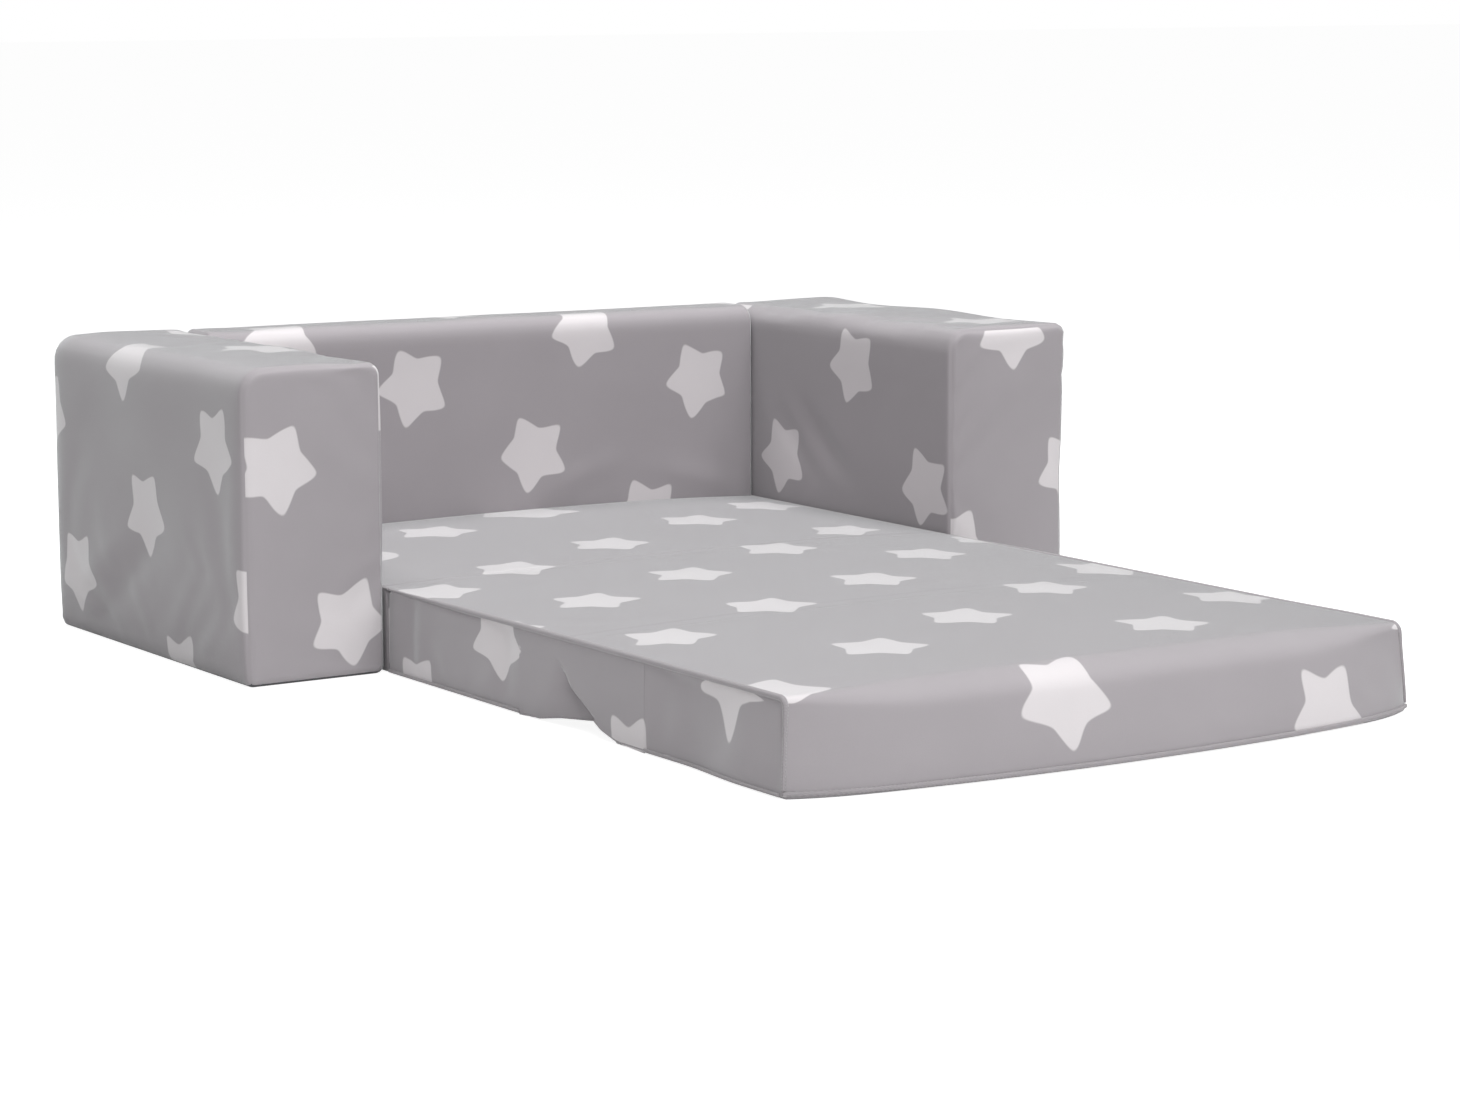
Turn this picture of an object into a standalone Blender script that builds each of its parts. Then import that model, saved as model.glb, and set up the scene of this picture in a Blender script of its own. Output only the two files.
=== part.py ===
"""A toddler's fold-out foam sofa, standing open with its two loose pads laid flat.

Two foam arms and a low foam backrest stand round a base pad. A middle pad and a
front pad hang on the base pad by the top fabric of the cover. The middle pad turns
over onto the base pad, and the front pad then stands up as the back cushion.
X runs across the sofa, Y from the front edge of the pads to the rear, Z upwards.
"""

import math

import bmesh
import bpy
from mathutils import Vector

# Driving dimensions of the body, in metres
OVERALL_WIDTH = 0.780
BODY_DEPTH = 0.355
BODY_HEIGHT = 0.239
ARM_WIDTH = 0.1185
ARM_EDGE_RADIUS = 0.020
BACKREST_THICKNESS = 0.054
BACKREST_EDGE_RADIUS = 0.016

# Driving dimensions of the pads
PAD_THICKNESS = 0.067
PAD_CROWN = 0.004
PAD_SIDE_CLEARANCE = 0.002
MIDDLE_PAD_LENGTH = 0.277
FRONT_PAD_LENGTH = 0.271
FRONT_EDGE_BOW = 0.022
FRONT_EDGE_RADIUS = 0.018
CLOSED_LEAN = math.radians(6.5)

# Cover fabric, its seam welts and the gaps between pieces that touch
FABRIC = 0.0012
WELT_DIAMETER = 0.003
TOUCH = 0.0003

# Zip across the rear of the cover
ZIP_END_MARGIN = 0.110
ZIP_HEIGHT = 0.030
TAPE_WIDTH = 0.024
TAPE_THICKNESS = 0.0008
COIL_WIDTH = 0.0045
COIL_THICKNESS = 0.0018
STOP_LENGTH = 0.004
STOP_OVERHANG = 0.0006
SLIDER_LENGTH = 0.011
SLIDER_WALL = 0.0012
SLIDER_CLEARANCE = 0.0004
SLIDER_EDGE_RADIUS = 0.0005

# Counts of steps in the rounded edges and across the crowned pads
ARC_STEPS = 6
PAD_STEPS = 12

# Places worked out from the sizes above
SKIN = FABRIC + TOUCH
WELT_RADIUS = WELT_DIAMETER / 2
WELT_SETBACK = WELT_DIAMETER + TOUCH
WELT_RELIEF = math.sqrt(2) * (WELT_RADIUS + TOUCH) + 2 * (WELT_RADIUS - SKIN)
HALF_WIDTH = OVERALL_WIDTH / 2
SEAT_HALF_WIDTH = HALF_WIDTH - ARM_WIDTH
PAD_HALF_WIDTH = SEAT_HALF_WIDTH - PAD_SIDE_CLEARANCE
PAD_SEAM_X = PAD_HALF_WIDTH - WELT_SETBACK
TAPE_DEPTH = TOUCH + TAPE_THICKNESS
SLIDER_DEPTH = TOUCH + COIL_THICKNESS + SLIDER_CLEARANCE + SLIDER_WALL
PADS_REACH = MIDDLE_PAD_LENGTH + FRONT_PAD_LENGTH + FRONT_EDGE_BOW
ARM_FRONT_Y = (PADS_REACH - BODY_DEPTH - TAPE_DEPTH - SLIDER_DEPTH) / 2
REAR_Y = ARM_FRONT_Y + BODY_DEPTH
BACKREST_FRONT_Y = REAR_Y - BACKREST_THICKNESS
REAR_FOLD_Y = ARM_FRONT_Y
FRONT_FOLD_Y = REAR_FOLD_Y - MIDDLE_PAD_LENGTH
FRONT_EDGE_Y = FRONT_FOLD_Y - FRONT_PAD_LENGTH
REAR_FOLD_Z = PAD_THICKNESS + PAD_CROWN + TOUCH
FRONT_FOLD_Z = PAD_THICKNESS - 2 * FABRIC
FOLD_BEVEL_RUN = FRONT_FOLD_Z * math.tan((math.pi / 2 - CLOSED_LEAN) / 2)
PANEL_REAR_Y = REAR_Y - SKIN

# Colour, roughness and metallic value of each finish
FINISHES = {
    "cover": ((0.270, 0.262, 0.270, 1.0), 0.92, 0.0),
    "foam": ((0.780, 0.760, 0.680, 1.0), 0.95, 0.0),
    "lining": ((0.110, 0.108, 0.112, 1.0), 0.95, 0.0),
    "welt": ((0.300, 0.292, 0.300, 1.0), 0.90, 0.0),
    "zip": ((0.120, 0.120, 0.125, 1.0), 0.55, 0.0),
    "slider": ((0.420, 0.420, 0.430, 1.0), 0.35, 1.0),
}


def clear_scene():
    """Removes every object that the file opens with."""
    for existing in list(bpy.data.objects):
        bpy.data.objects.remove(existing, do_unlink=True)


def make_finish(name):
    """One plain shaded material for a finish of the table above."""
    colour, roughness, metallic = FINISHES[name]
    material = bpy.data.materials.new(name)
    material.use_nodes = True
    shader = material.node_tree.nodes["Principled BSDF"]
    shader.inputs["Base Color"].default_value = colour
    shader.inputs["Roughness"].default_value = roughness
    shader.inputs["Metallic"].default_value = metallic
    return material


def place(name, data, finish, parent=None):
    """Puts a mesh or curve into the sofa's collection under its own name."""
    piece = bpy.data.objects.new(name, data)
    data.materials.append(MATERIALS[finish])
    SOFA.objects.link(piece)
    if parent is not None:
        piece.parent = parent
        piece.matrix_parent_inverse = parent.matrix_world.inverted()
    return piece


def pivot(name, location):
    """An empty on a joint's axis, which carries the pieces that turn with it."""
    axis = bpy.data.objects.new(name, None)
    axis.location = location
    SOFA.objects.link(axis)
    bpy.context.view_layer.update()
    return axis


def arc(centre, radius, start, end):
    """Points along a round corner, from one angle to another, in a flat outline."""
    angles = [start + (end - start) * step / ARC_STEPS for step in range(ARC_STEPS + 1)]
    return [centre + Vector((math.cos(angle), math.sin(angle))) * radius for angle in angles]


def inset(outline, distance):
    """Moves every side of a convex closed outline inwards by the same distance."""
    pairs = list(zip(outline, outline[1:] + outline[:1]))
    area = sum(first.cross(second) for first, second in pairs)
    turn = math.copysign(1, area)
    sides = [(second - first).normalized() for first, second in pairs]
    normals = [Vector((-side.y, side.x)) * turn for side in sides]
    moved = []
    for index, corner in enumerate(outline):
        before, after = normals[index - 1], normals[index]
        moved.append(corner + (before + after) * distance / (1 + before.dot(after)))
    return moved


def loft(name, sections, finish, closed=True, parent=None):
    """Skins a row of matching outlines. A closed one gets flat ends, an open one stays a sheet."""
    shape = bmesh.new()
    rings = [[shape.verts.new(point) for point in section] for section in sections]
    count = len(rings[0])
    spans = count if closed else count - 1
    for ring, following in zip(rings, rings[1:]):
        for index in range(spans):
            beside = (index + 1) % count
            shape.faces.new((ring[index], ring[beside], following[beside], following[index]))
    if closed:
        shape.faces.new(reversed(rings[0]))
        shape.faces.new(rings[-1])
        if shape.calc_volume(signed=True) < 0:
            bmesh.ops.reverse_faces(shape, faces=shape.faces)
    mesh = bpy.data.meshes.new(name)
    shape.to_mesh(mesh)
    shape.free()
    mesh.shade_smooth()
    mesh.set_sharp_from_angle(angle=math.radians(35))
    return place(name, mesh, finish, parent)


def sheet(name, sections, finish, parent=None):
    """A panel of cover fabric: an open skin thickened inwards."""
    panel = loft(name, sections, finish, closed=False, parent=parent)
    thickness = panel.modifiers.new("fabric", "SOLIDIFY")
    thickness.thickness = FABRIC
    thickness.offset = -1
    thickness.use_even_offset = True
    return panel


def welt(name, points, closed=True, parent=None):
    """Round seam piping along a path, which may close on itself."""
    curve = bpy.data.curves.new(name, "CURVE")
    curve.dimensions = "3D"
    curve.bevel_depth = WELT_RADIUS
    curve.bevel_resolution = 2
    curve.use_fill_caps = True
    run = curve.splines.new("POLY")
    run.points.add(len(points) - 1)
    run.use_cyclic_u = closed
    for target, point in zip(run.points, points):
        target.co = (*point, 1)
    return place(name, curve, "welt", parent)


def block(name, low, high, finish):
    """A box between two corners."""
    shape = bmesh.new()
    bmesh.ops.create_cube(shape, size=1)
    low, high = Vector(low), Vector(high)
    for corner in shape.verts:
        corner.co = (low + high) / 2 + corner.co * (high - low)
    mesh = bpy.data.meshes.new(name)
    shape.to_mesh(mesh)
    shape.free()
    return place(name, mesh, finish)


def across(outline, x):
    """Stands an outline of Y and Z up at a place across the sofa."""
    return [Vector((x, point.x, point.y)) for point in outline]


def along(outline, y):
    """Stands an outline of X and Z up at a place along the sofa."""
    return [Vector((point.x, y, point.y)) for point in outline]


def stations(half_span):
    """Even steps from the left edge of a pad to its right edge."""
    return [half_span * (2 * step / PAD_STEPS - 1) for step in range(PAD_STEPS + 1)]


def pad_top(x):
    """Height of a pad's crowned top at a place across it."""
    return PAD_THICKNESS + PAD_CROWN * (1 - (x / PAD_HALF_WIDTH) ** 2)


def front_edge(x):
    """Place of the bowed front edge at a place across the front pad."""
    return FRONT_EDGE_Y - FRONT_EDGE_BOW * (1 - (x / PAD_HALF_WIDTH) ** 2)


def base_outline(x):
    """Side outline of the base pad, from its rear top edge forwards and round."""
    front, rear = REAR_FOLD_Y + TOUCH, BACKREST_FRONT_Y - TOUCH
    return [Vector((rear, pad_top(x))), Vector((front, pad_top(x))), Vector((front, 0)), Vector((rear, 0))]


def middle_outline(x):
    """Side outline of the middle pad, whose front end is bevelled for the fold."""
    rear, front = REAR_FOLD_Y - TOUCH, FRONT_FOLD_Y + TOUCH
    return [
        Vector((rear, pad_top(x))),
        Vector((front, pad_top(x))),
        Vector((front + FOLD_BEVEL_RUN, 0)),
        Vector((rear, 0)),
    ]


def front_outline(x):
    """Side outline of the front pad: bevelled at the fold, rounded at the front top."""
    rear, front, top = FRONT_FOLD_Y - TOUCH, front_edge(x), pad_top(x)
    centre = Vector((front + FRONT_EDGE_RADIUS, top - FRONT_EDGE_RADIUS))
    rounding = arc(centre, FRONT_EDGE_RADIUS, math.pi / 2, math.pi)
    below = [Vector((front, 0)), Vector((rear - FOLD_BEVEL_RUN, 0))]
    return [Vector((rear, top)), *rounding, *below]


def pad_foam(name, outline, corner=None, parent=None):
    """Foam slab of a pad, with its edges eased where the seam welts run past."""
    def section(x, distance):
        points = inset(outline(x), distance)
        if corner is not None:
            cut, before, after = points[corner], points[corner - 1], points[corner + 1]
            first = cut + (before - cut).normalized() * WELT_RELIEF
            second = cut + (after - cut).normalized() * WELT_RELIEF
            points[corner:corner + 1] = [first, second]
        return across(points, x)

    side = PAD_HALF_WIDTH - SKIN
    inner = [section(x, SKIN) for x in stations(side - WELT_RELIEF)]
    first, last = section(-side, SKIN + WELT_RELIEF), section(side, SKIN + WELT_RELIEF)
    return loft(name, [first, *inner, last], "foam", parent=parent)


def pad_sides(pad, outline, parent=None):
    """Side panels of a pad, each inside the loop of its own welt."""
    panel = inset(outline(PAD_HALF_WIDTH), WELT_SETBACK)
    loop = inset(outline(PAD_HALF_WIDTH), WELT_RADIUS)
    for label, side in SIDES:
        outer = side * PAD_HALF_WIDTH
        faces = [across(panel, outer), across(panel, outer - side * FABRIC)]
        loft(f"{pad}_{label}_gusset", faces, "cover", parent=parent)
        welt(f"{pad}_{label}_welt", across(loop, outer - side * WELT_RADIUS), parent=parent)


def pad_top_cover(name, top_run, parent=None):
    """Top fabric of a pad between its side seams."""
    return sheet(name, [across(top_run(x), x) for x in stations(PAD_SEAM_X)], "cover", parent=parent)


def pad_under_cover(name, under_run, parent=None):
    """Fabric round the ends and the underside of a pad."""
    return sheet(name, [across(under_run(x), x) for x in stations(PAD_SEAM_X)], "cover", parent=parent)


def below_top(point, foot):
    """Where the fabric on the end of a pad starts, on its way down from the top fabric."""
    return point.lerp(foot, (SKIN + FABRIC) / point.y)


def build_base_pad():
    """Base pad, which fills the space between the arms in front of the backrest."""
    pad_foam("base_pad_foam", base_outline)
    pad_top_cover("base_pad_top_cover", lambda x: base_outline(x)[:2])

    def under_run(x):
        rear, front, front_foot, rear_foot = base_outline(x)
        return [below_top(front, front_foot), front_foot, rear_foot, below_top(rear, rear_foot)]

    pad_under_cover("base_pad_under_cover", under_run)
    pad_sides("base_pad", base_outline)


def build_middle_pad():
    """Middle pad, which turns over onto the base pad."""
    fold = pivot("rear_fold_axis", (0, REAR_FOLD_Y, REAR_FOLD_Z))
    pad_foam("middle_pad_foam", middle_outline, parent=fold)
    pad_top_cover("middle_pad_top_cover", lambda x: middle_outline(x)[:2], fold)

    def under_run(x):
        rear, front, bevel_foot, rear_foot = middle_outline(x)
        return [below_top(front, bevel_foot), bevel_foot, rear_foot, below_top(rear, rear_foot)]

    pad_under_cover("middle_pad_under_cover", under_run, fold)
    pad_sides("middle_pad", middle_outline, fold)


def build_front_pad():
    """Front pad, whose top fabric runs on over the rounded front edge to the floor."""
    fold = pivot("front_fold_axis", (0, FRONT_FOLD_Y, FRONT_FOLD_Z))
    foot = ARC_STEPS + 2
    pad_foam("front_pad_foam", front_outline, corner=foot, parent=fold)

    def top_run(x):
        run = front_outline(x)[:foot + 1]
        run[-1] = Vector((run[-1].x, WELT_SETBACK))
        return run

    def under_run(x):
        rear, bevel_foot = front_outline(x)[0], front_outline(x)[-1]
        return [Vector((front_edge(x) + WELT_SETBACK, 0)), bevel_foot, below_top(rear, bevel_foot)]

    pad_top_cover("front_pad_top_cover", top_run, fold)
    pad_under_cover("front_pad_under_cover", under_run, fold)
    pad_sides("front_pad", front_outline, fold)
    front_run = [Vector((x, front_edge(x) + WELT_RADIUS, WELT_RADIUS)) for x in stations(PAD_SEAM_X)]
    welt("front_pad_front_welt", front_run, closed=False, parent=fold)


def arm_outline(side):
    """Front outline of an arm, from its left foot up, over the rounded top and down."""
    middle = side * (HALF_WIDTH - ARM_WIDTH / 2)
    left, right = middle - ARM_WIDTH / 2, middle + ARM_WIDTH / 2
    shoulder = BODY_HEIGHT - ARM_EDGE_RADIUS
    left_round = arc(Vector((left + ARM_EDGE_RADIUS, shoulder)), ARM_EDGE_RADIUS, math.pi, math.pi / 2)
    right_round = arc(Vector((right - ARM_EDGE_RADIUS, shoulder)), ARM_EDGE_RADIUS, math.pi / 2, 0)
    return [Vector((left, 0)), *left_round, *right_round, Vector((right, 0))]


def build_arm(label, side):
    """One arm: foam, a wrap over outer side, top and inner side, and panels at front and base."""
    outline = arm_outline(side)
    front = ARM_FRONT_Y + SKIN
    eased = inset(outline, SKIN + WELT_RELIEF)
    full = inset(outline, SKIN)
    foam = [along(eased, front), along(full, front + WELT_RELIEF), along(full, REAR_Y - SKIN)]
    loft(f"{label}_arm_foam", foam, "foam")
    run = [Vector((outline[0].x, SKIN)), *outline[1:-1], Vector((outline[-1].x, SKIN))]
    wrap_front = ARM_FRONT_Y + WELT_SETBACK
    sheet(f"{label}_arm_wrap_cover", [along(run, wrap_front), along(run, PANEL_REAR_Y)], "cover")
    panel = inset(outline, WELT_SETBACK)
    faces = [along(panel, ARM_FRONT_Y), along(panel, ARM_FRONT_Y + FABRIC)]
    loft(f"{label}_arm_front_panel", faces, "cover")
    loop = along(inset(outline, WELT_RADIUS), ARM_FRONT_Y + WELT_RADIUS)
    welt(f"{label}_arm_front_welt", loop)
    low = (outline[0].x, wrap_front, 0)
    high = (outline[-1].x, PANEL_REAR_Y, FABRIC)
    block(f"{label}_arm_base_panel", low, high, "lining")


def backrest_outline():
    """Side outline of the backrest, with its front top edge rounded."""
    centre = Vector((BACKREST_FRONT_Y, BODY_HEIGHT)) + Vector((1, -1)) * BACKREST_EDGE_RADIUS
    rounding = arc(centre, BACKREST_EDGE_RADIUS, math.pi / 2, math.pi)
    rear = PANEL_REAR_Y
    return [Vector((rear, BODY_HEIGHT)), *rounding, Vector((BACKREST_FRONT_Y, 0)), Vector((rear, 0))]


def build_backrest():
    """Low backrest between the arms, and the panel that closes the whole rear."""
    outline = backrest_outline()
    side = SEAT_HALF_WIDTH - TOUCH
    foam = inset(outline, SKIN)
    foam[0], foam[-1] = Vector((PANEL_REAR_Y, foam[0].y)), Vector((PANEL_REAR_Y, foam[-1].y))
    loft("backrest_foam", [across(foam, -side), across(foam, side)], "foam")
    run = [*outline[:-2], Vector((BACKREST_FRONT_Y, SKIN))]
    sheet("backrest_cover", [across(run, -side), across(run, side)], "cover")
    low, high = (-side, BACKREST_FRONT_Y, 0), (side, PANEL_REAR_Y, FABRIC)
    block("backrest_base_panel", low, high, "lining")
    left, right = arm_outline(-1), arm_outline(1)
    half = len(left) // 2
    rear = [*left[:half], *right[half:]]
    loft("rear_panel", [along(rear, REAR_Y - FABRIC), along(rear, REAR_Y)], "cover")


def build_zip():
    """Zip across the rear panel: tape, closed coil, end stops and a slider with no pull."""
    half = HALF_WIDTH - ZIP_END_MARGIN
    tape_y = REAR_Y + TOUCH
    coil_y = tape_y + TAPE_THICKNESS + TOUCH
    coil_rear = coil_y + COIL_THICKNESS
    tape_low = (-half, tape_y, ZIP_HEIGHT - TAPE_WIDTH / 2)
    tape_high = (half, tape_y + TAPE_THICKNESS, ZIP_HEIGHT + TAPE_WIDTH / 2)
    block("zip_tape", tape_low, tape_high, "zip")
    coil_half = half - STOP_LENGTH - TOUCH
    coil_low = (-coil_half, coil_y, ZIP_HEIGHT - COIL_WIDTH / 2)
    coil_high = (coil_half, coil_rear, ZIP_HEIGHT + COIL_WIDTH / 2)
    block("zip_coil", coil_low, coil_high, "zip")
    stop_half = COIL_WIDTH / 2 + STOP_OVERHANG
    for label, side in SIDES:
        ends = sorted((side * half, side * (half - STOP_LENGTH)))
        low = (ends[0], coil_y, ZIP_HEIGHT - stop_half)
        high = (ends[1], coil_rear + STOP_OVERHANG, ZIP_HEIGHT + stop_half)
        block(f"zip_{label}_stop", low, high, "slider")
    build_zip_slider(coil_half - TOUCH, coil_y, coil_rear)


def build_zip_slider(right_end, coil_y, coil_rear):
    """Slider that straddles the coil, parked at the closed end of the zip."""
    inner_half = COIL_WIDTH / 2 + SLIDER_CLEARANCE
    outer_half = inner_half + SLIDER_WALL
    inner_y = coil_rear + SLIDER_CLEARANCE
    outer_y = inner_y + SLIDER_WALL
    rim = SLIDER_EDGE_RADIUS
    corners = [
        (inner_half, coil_y), (outer_half, coil_y), (outer_half, outer_y - rim), (outer_half - rim, outer_y),
        (rim - outer_half, outer_y), (-outer_half, outer_y - rim), (-outer_half, coil_y), (-inner_half, coil_y),
        (-inner_half, inner_y), (inner_half, inner_y),
    ]
    channel = [Vector((y, ZIP_HEIGHT + height)) for height, y in corners]
    park = pivot("zip_slide_start", (right_end - SLIDER_LENGTH / 2, coil_rear, ZIP_HEIGHT))
    sections = [across(channel, right_end - SLIDER_LENGTH), across(channel, right_end)]
    loft("zip_slider", sections, "slider", parent=park)


clear_scene()
SIDES = (("left", -1), ("right", 1))
MATERIALS = {finish: make_finish(finish) for finish in FINISHES}
SOFA = bpy.data.collections.new("fold_out_sofa")
bpy.context.scene.collection.children.link(SOFA)

for arm_label, arm_side in SIDES:
    build_arm(arm_label, arm_side)
build_backrest()
build_base_pad()
build_middle_pad()
build_front_pad()
build_zip()
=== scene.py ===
"""Dresses the fold-out foam sofa: stuffed covers, seams, star print, zip and studio."""
import logging
import math
from abc import ABC, abstractmethod
from collections.abc import Callable, Mapping, Sequence
from dataclasses import dataclass, field
from enum import Enum
from typing import ClassVar

import bmesh
import bpy
import numpy as np
from mathutils import Euler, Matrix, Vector, noise


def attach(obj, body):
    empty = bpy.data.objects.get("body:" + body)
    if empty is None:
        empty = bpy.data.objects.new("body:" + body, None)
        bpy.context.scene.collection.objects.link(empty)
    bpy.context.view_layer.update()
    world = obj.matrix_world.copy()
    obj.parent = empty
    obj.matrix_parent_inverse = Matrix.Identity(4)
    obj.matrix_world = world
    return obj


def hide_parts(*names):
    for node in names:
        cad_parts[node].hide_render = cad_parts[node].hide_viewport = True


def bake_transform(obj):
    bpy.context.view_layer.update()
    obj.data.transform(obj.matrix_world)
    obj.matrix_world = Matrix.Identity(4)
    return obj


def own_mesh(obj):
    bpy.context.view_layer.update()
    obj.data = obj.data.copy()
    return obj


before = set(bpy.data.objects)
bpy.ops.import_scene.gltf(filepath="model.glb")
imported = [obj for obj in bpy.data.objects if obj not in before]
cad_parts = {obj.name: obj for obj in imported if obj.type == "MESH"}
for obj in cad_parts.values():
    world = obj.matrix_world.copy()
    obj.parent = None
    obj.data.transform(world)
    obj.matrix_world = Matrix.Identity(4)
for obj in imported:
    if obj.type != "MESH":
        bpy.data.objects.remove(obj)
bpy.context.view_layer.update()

LOG = logging.getLogger("fold_out_sofa")
MM = 0.001

Number = float | int
Colour = tuple[float, float, float, float]
Point2 = tuple[float, float]
Point3 = tuple[float, float, float]
WHITE: Colour = (1.0, 1.0, 1.0, 1.0)


class Side(Enum):
    """The two sides of the sofa, with the sign of x on each."""

    LEFT = -1
    RIGHT = 1

    @property
    def label(self) -> str:
        """Name used in piece names."""
        return self.name.lower()


def bounded(number: float) -> float:
    """Holds a number between 0 and 1."""
    return min(1.0, max(0.0, number))


def smooth(share: np.ndarray) -> np.ndarray:
    """Smooth step of shares between 0 and 1."""
    return share * share * (3 - 2 * share)


def show(name: str, data: bpy.types.ID) -> bpy.types.Object:
    """Puts data into the scene.

    Args:
        name: Name of the object.
        data: Mesh, lamp or camera.

    Returns:
        The object.
    """
    holder = bpy.data.objects.new(name, data)
    bpy.context.scene.collection.objects.link(holder)
    return holder


# ---- shader kit


class Value:
    """A shader socket that Python expressions can be written on."""

    def __init__(self, paint: "Paint", socket: bpy.types.NodeSocket | None) -> None:
        """Keeps the paint and the socket, which a closing output node doesn't have."""
        self.paint = paint
        self.socket = socket

    def _math(self, operation: str, *operands: "Value | Number") -> "Value":
        """Adds one Math node on the operands, in their order."""
        return self.paint.node("ShaderNodeMath", {"operation": operation}, dict(enumerate(operands)))

    def __add__(self, other: "Value | Number") -> "Value":
        """self + other."""
        return self._math("ADD", self, other)

    def __radd__(self, other: Number) -> "Value":
        """other + self."""
        return self._math("ADD", other, self)

    def __sub__(self, other: "Value | Number") -> "Value":
        """self - other."""
        return self._math("SUBTRACT", self, other)

    def __rsub__(self, other: Number) -> "Value":
        """other - self."""
        return self._math("SUBTRACT", other, self)

    def __mul__(self, other: "Value | Number") -> "Value":
        """self * other."""
        return self._math("MULTIPLY", self, other)

    def __rmul__(self, other: Number) -> "Value":
        """other * self."""
        return self._math("MULTIPLY", other, self)

    def __truediv__(self, other: "Value | Number") -> "Value":
        """self / other."""
        return self._math("DIVIDE", self, other)

    def sine(self) -> "Value":
        """Sine of the angle in radians."""
        return self._math("SINE", self)

    def cosine(self) -> "Value":
        """Cosine of the angle in radians."""
        return self._math("COSINE", self)

    def arccosine(self) -> "Value":
        """Angle in radians whose cosine this is."""
        return self._math("ARCCOSINE", self)

    def angle_over(self, run: "Value") -> "Value":
        """Direction in radians of the point with this height over that run."""
        return self._math("ARCTAN2", self, run)

    def rounded(self) -> "Value":
        """Nearest whole number."""
        return self._math("ROUND", self)

    def root(self) -> "Value":
        """Square root."""
        return self._math("SQRT", self)

    def size(self) -> "Value":
        """Absolute value."""
        return self._math("ABSOLUTE", self)

    def larger(self, other: "Value | Number") -> "Value":
        """The larger of the two."""
        return self._math("MAXIMUM", self, other)

    def ease(self, low: float, high: float) -> "Value":
        """Smooth step from 0 at low to 1 at high; low may be the larger."""
        return self.paint.node(
            "ShaderNodeMapRange",
            {"interpolation_type": "SMOOTHSTEP"},
            {"Value": self, "From Min": low, "From Max": high, "To Min": 0.0, "To Max": 1.0},
        )


class Paint:
    """Node tree of one material or of the world, filled through a single node method."""

    def __init__(self, owner: bpy.types.Material | bpy.types.World) -> None:
        """Empties the node tree of its owner."""
        owner.use_nodes = True
        self.owner = owner
        self.tree = owner.node_tree
        self.tree.nodes.clear()

    @classmethod
    def of(cls, name: str) -> "Paint":
        """Starts a new material with this name."""
        return cls(bpy.data.materials.new(name))

    def node(
        self,
        kind: str,
        settings: Mapping[str, object] | None = None,
        sockets: Mapping[str | int, object] | None = None,
        output: str | int = 0,
    ) -> Value:
        """Adds a node.

        Args:
            kind: Blender's type name of the node.
            settings: Properties of the node, set before its sockets.
            sockets: Value or link of each input, by name or number.
            output: Name or number of the output to return.

        Returns:
            The chosen output, whose socket is None on a closing output node.
        """
        node = self.tree.nodes.new(kind)
        for key, setting in (settings or {}).items():
            setattr(node, key, setting)
        for key, value in (sockets or {}).items():
            if isinstance(value, Value):
                self.tree.links.new(value.socket, node.inputs[key])
            else:
                node.inputs[key].default_value = value
        return Value(self, node.outputs[output] if node.outputs else None)

    def vector(self, operation: str, first: Value, second: Value | Point3) -> Value:
        """Adds a Vector Math node on two vectors."""
        return self.node("ShaderNodeVectorMath", {"operation": operation}, {0: first, 1: second})

    def split(self, vector: Value) -> tuple[Value, Value, Value]:
        """Returns the three components of a vector."""
        parts = self.node("ShaderNodeSeparateXYZ", sockets={0: vector})
        return tuple(Value(self, output) for output in parts.socket.node.outputs)

    def place(self) -> Value:
        """Place in the sofa's frame, in metres."""
        return self.node("ShaderNodeTexCoord", output="Object")

    def layer(self, name: str) -> Value:
        """Place on the flat panel ("cloth") or on the printed repeat ("print"), in metres."""
        return self.node("ShaderNodeUVMap", {"uv_map": name})

    def blend(self, factor: Value | float, first: Value | Colour, second: Value | Colour) -> Value:
        """Mixes two colours.

        Args:
            factor: 0 gives the first colour and 1 the second.
            first: Colour at 0.
            second: Colour at 1.

        Returns:
            The mixed colour.
        """
        return self.node("ShaderNodeMix", {"data_type": "RGBA"}, {0: factor, 6: first, 7: second}, 2)

    def tint(self, colour: Value | Colour, shade: Value) -> Value:
        """Multiplies a colour by a grey value."""
        return self.node(
            "ShaderNodeMix", {"data_type": "RGBA", "blend_type": "MULTIPLY"}, {0: 1.0, 6: colour, 7: shade}, 2
        )

    def speckle(self, place: Value, scale: float, detail: float = 2.0) -> Value:
        """Noise between 0 and 1 at a scale in cells per metre."""
        sockets = {"Vector": place, "Scale": scale, "Detail": detail, "Roughness": 0.55}
        return self.node("ShaderNodeTexNoise", {"noise_dimensions": "3D"}, sockets)

    def relief(self, height: Value, strength: float, distance: float) -> Value:
        """Turns a height from 0 to 1 into the normal of a surface with bumps of a distance in metres."""
        return self.node("ShaderNodeBump", {}, {"Strength": strength, "Distance": distance, "Height": height})

    def seen(self) -> Value:
        """1 for what the camera sees, straight or in metal or glass, and 0 for the light on the sofa."""
        kinds = ("Camera", "Glossy", "Transmission")
        camera, gloss, glass = (self.node("ShaderNodeLightPath", output=f"Is {kind} Ray") for kind in kinds)
        return camera.larger(gloss).larger(glass)

    def finish(
        self, shader: Value, output: str = "ShaderNodeOutputMaterial"
    ) -> bpy.types.Material | bpy.types.World:
        """Links the shader to the output and returns the owner."""
        self.node(output, sockets={"Surface": shader})
        return self.owner


# ---- print


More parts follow.
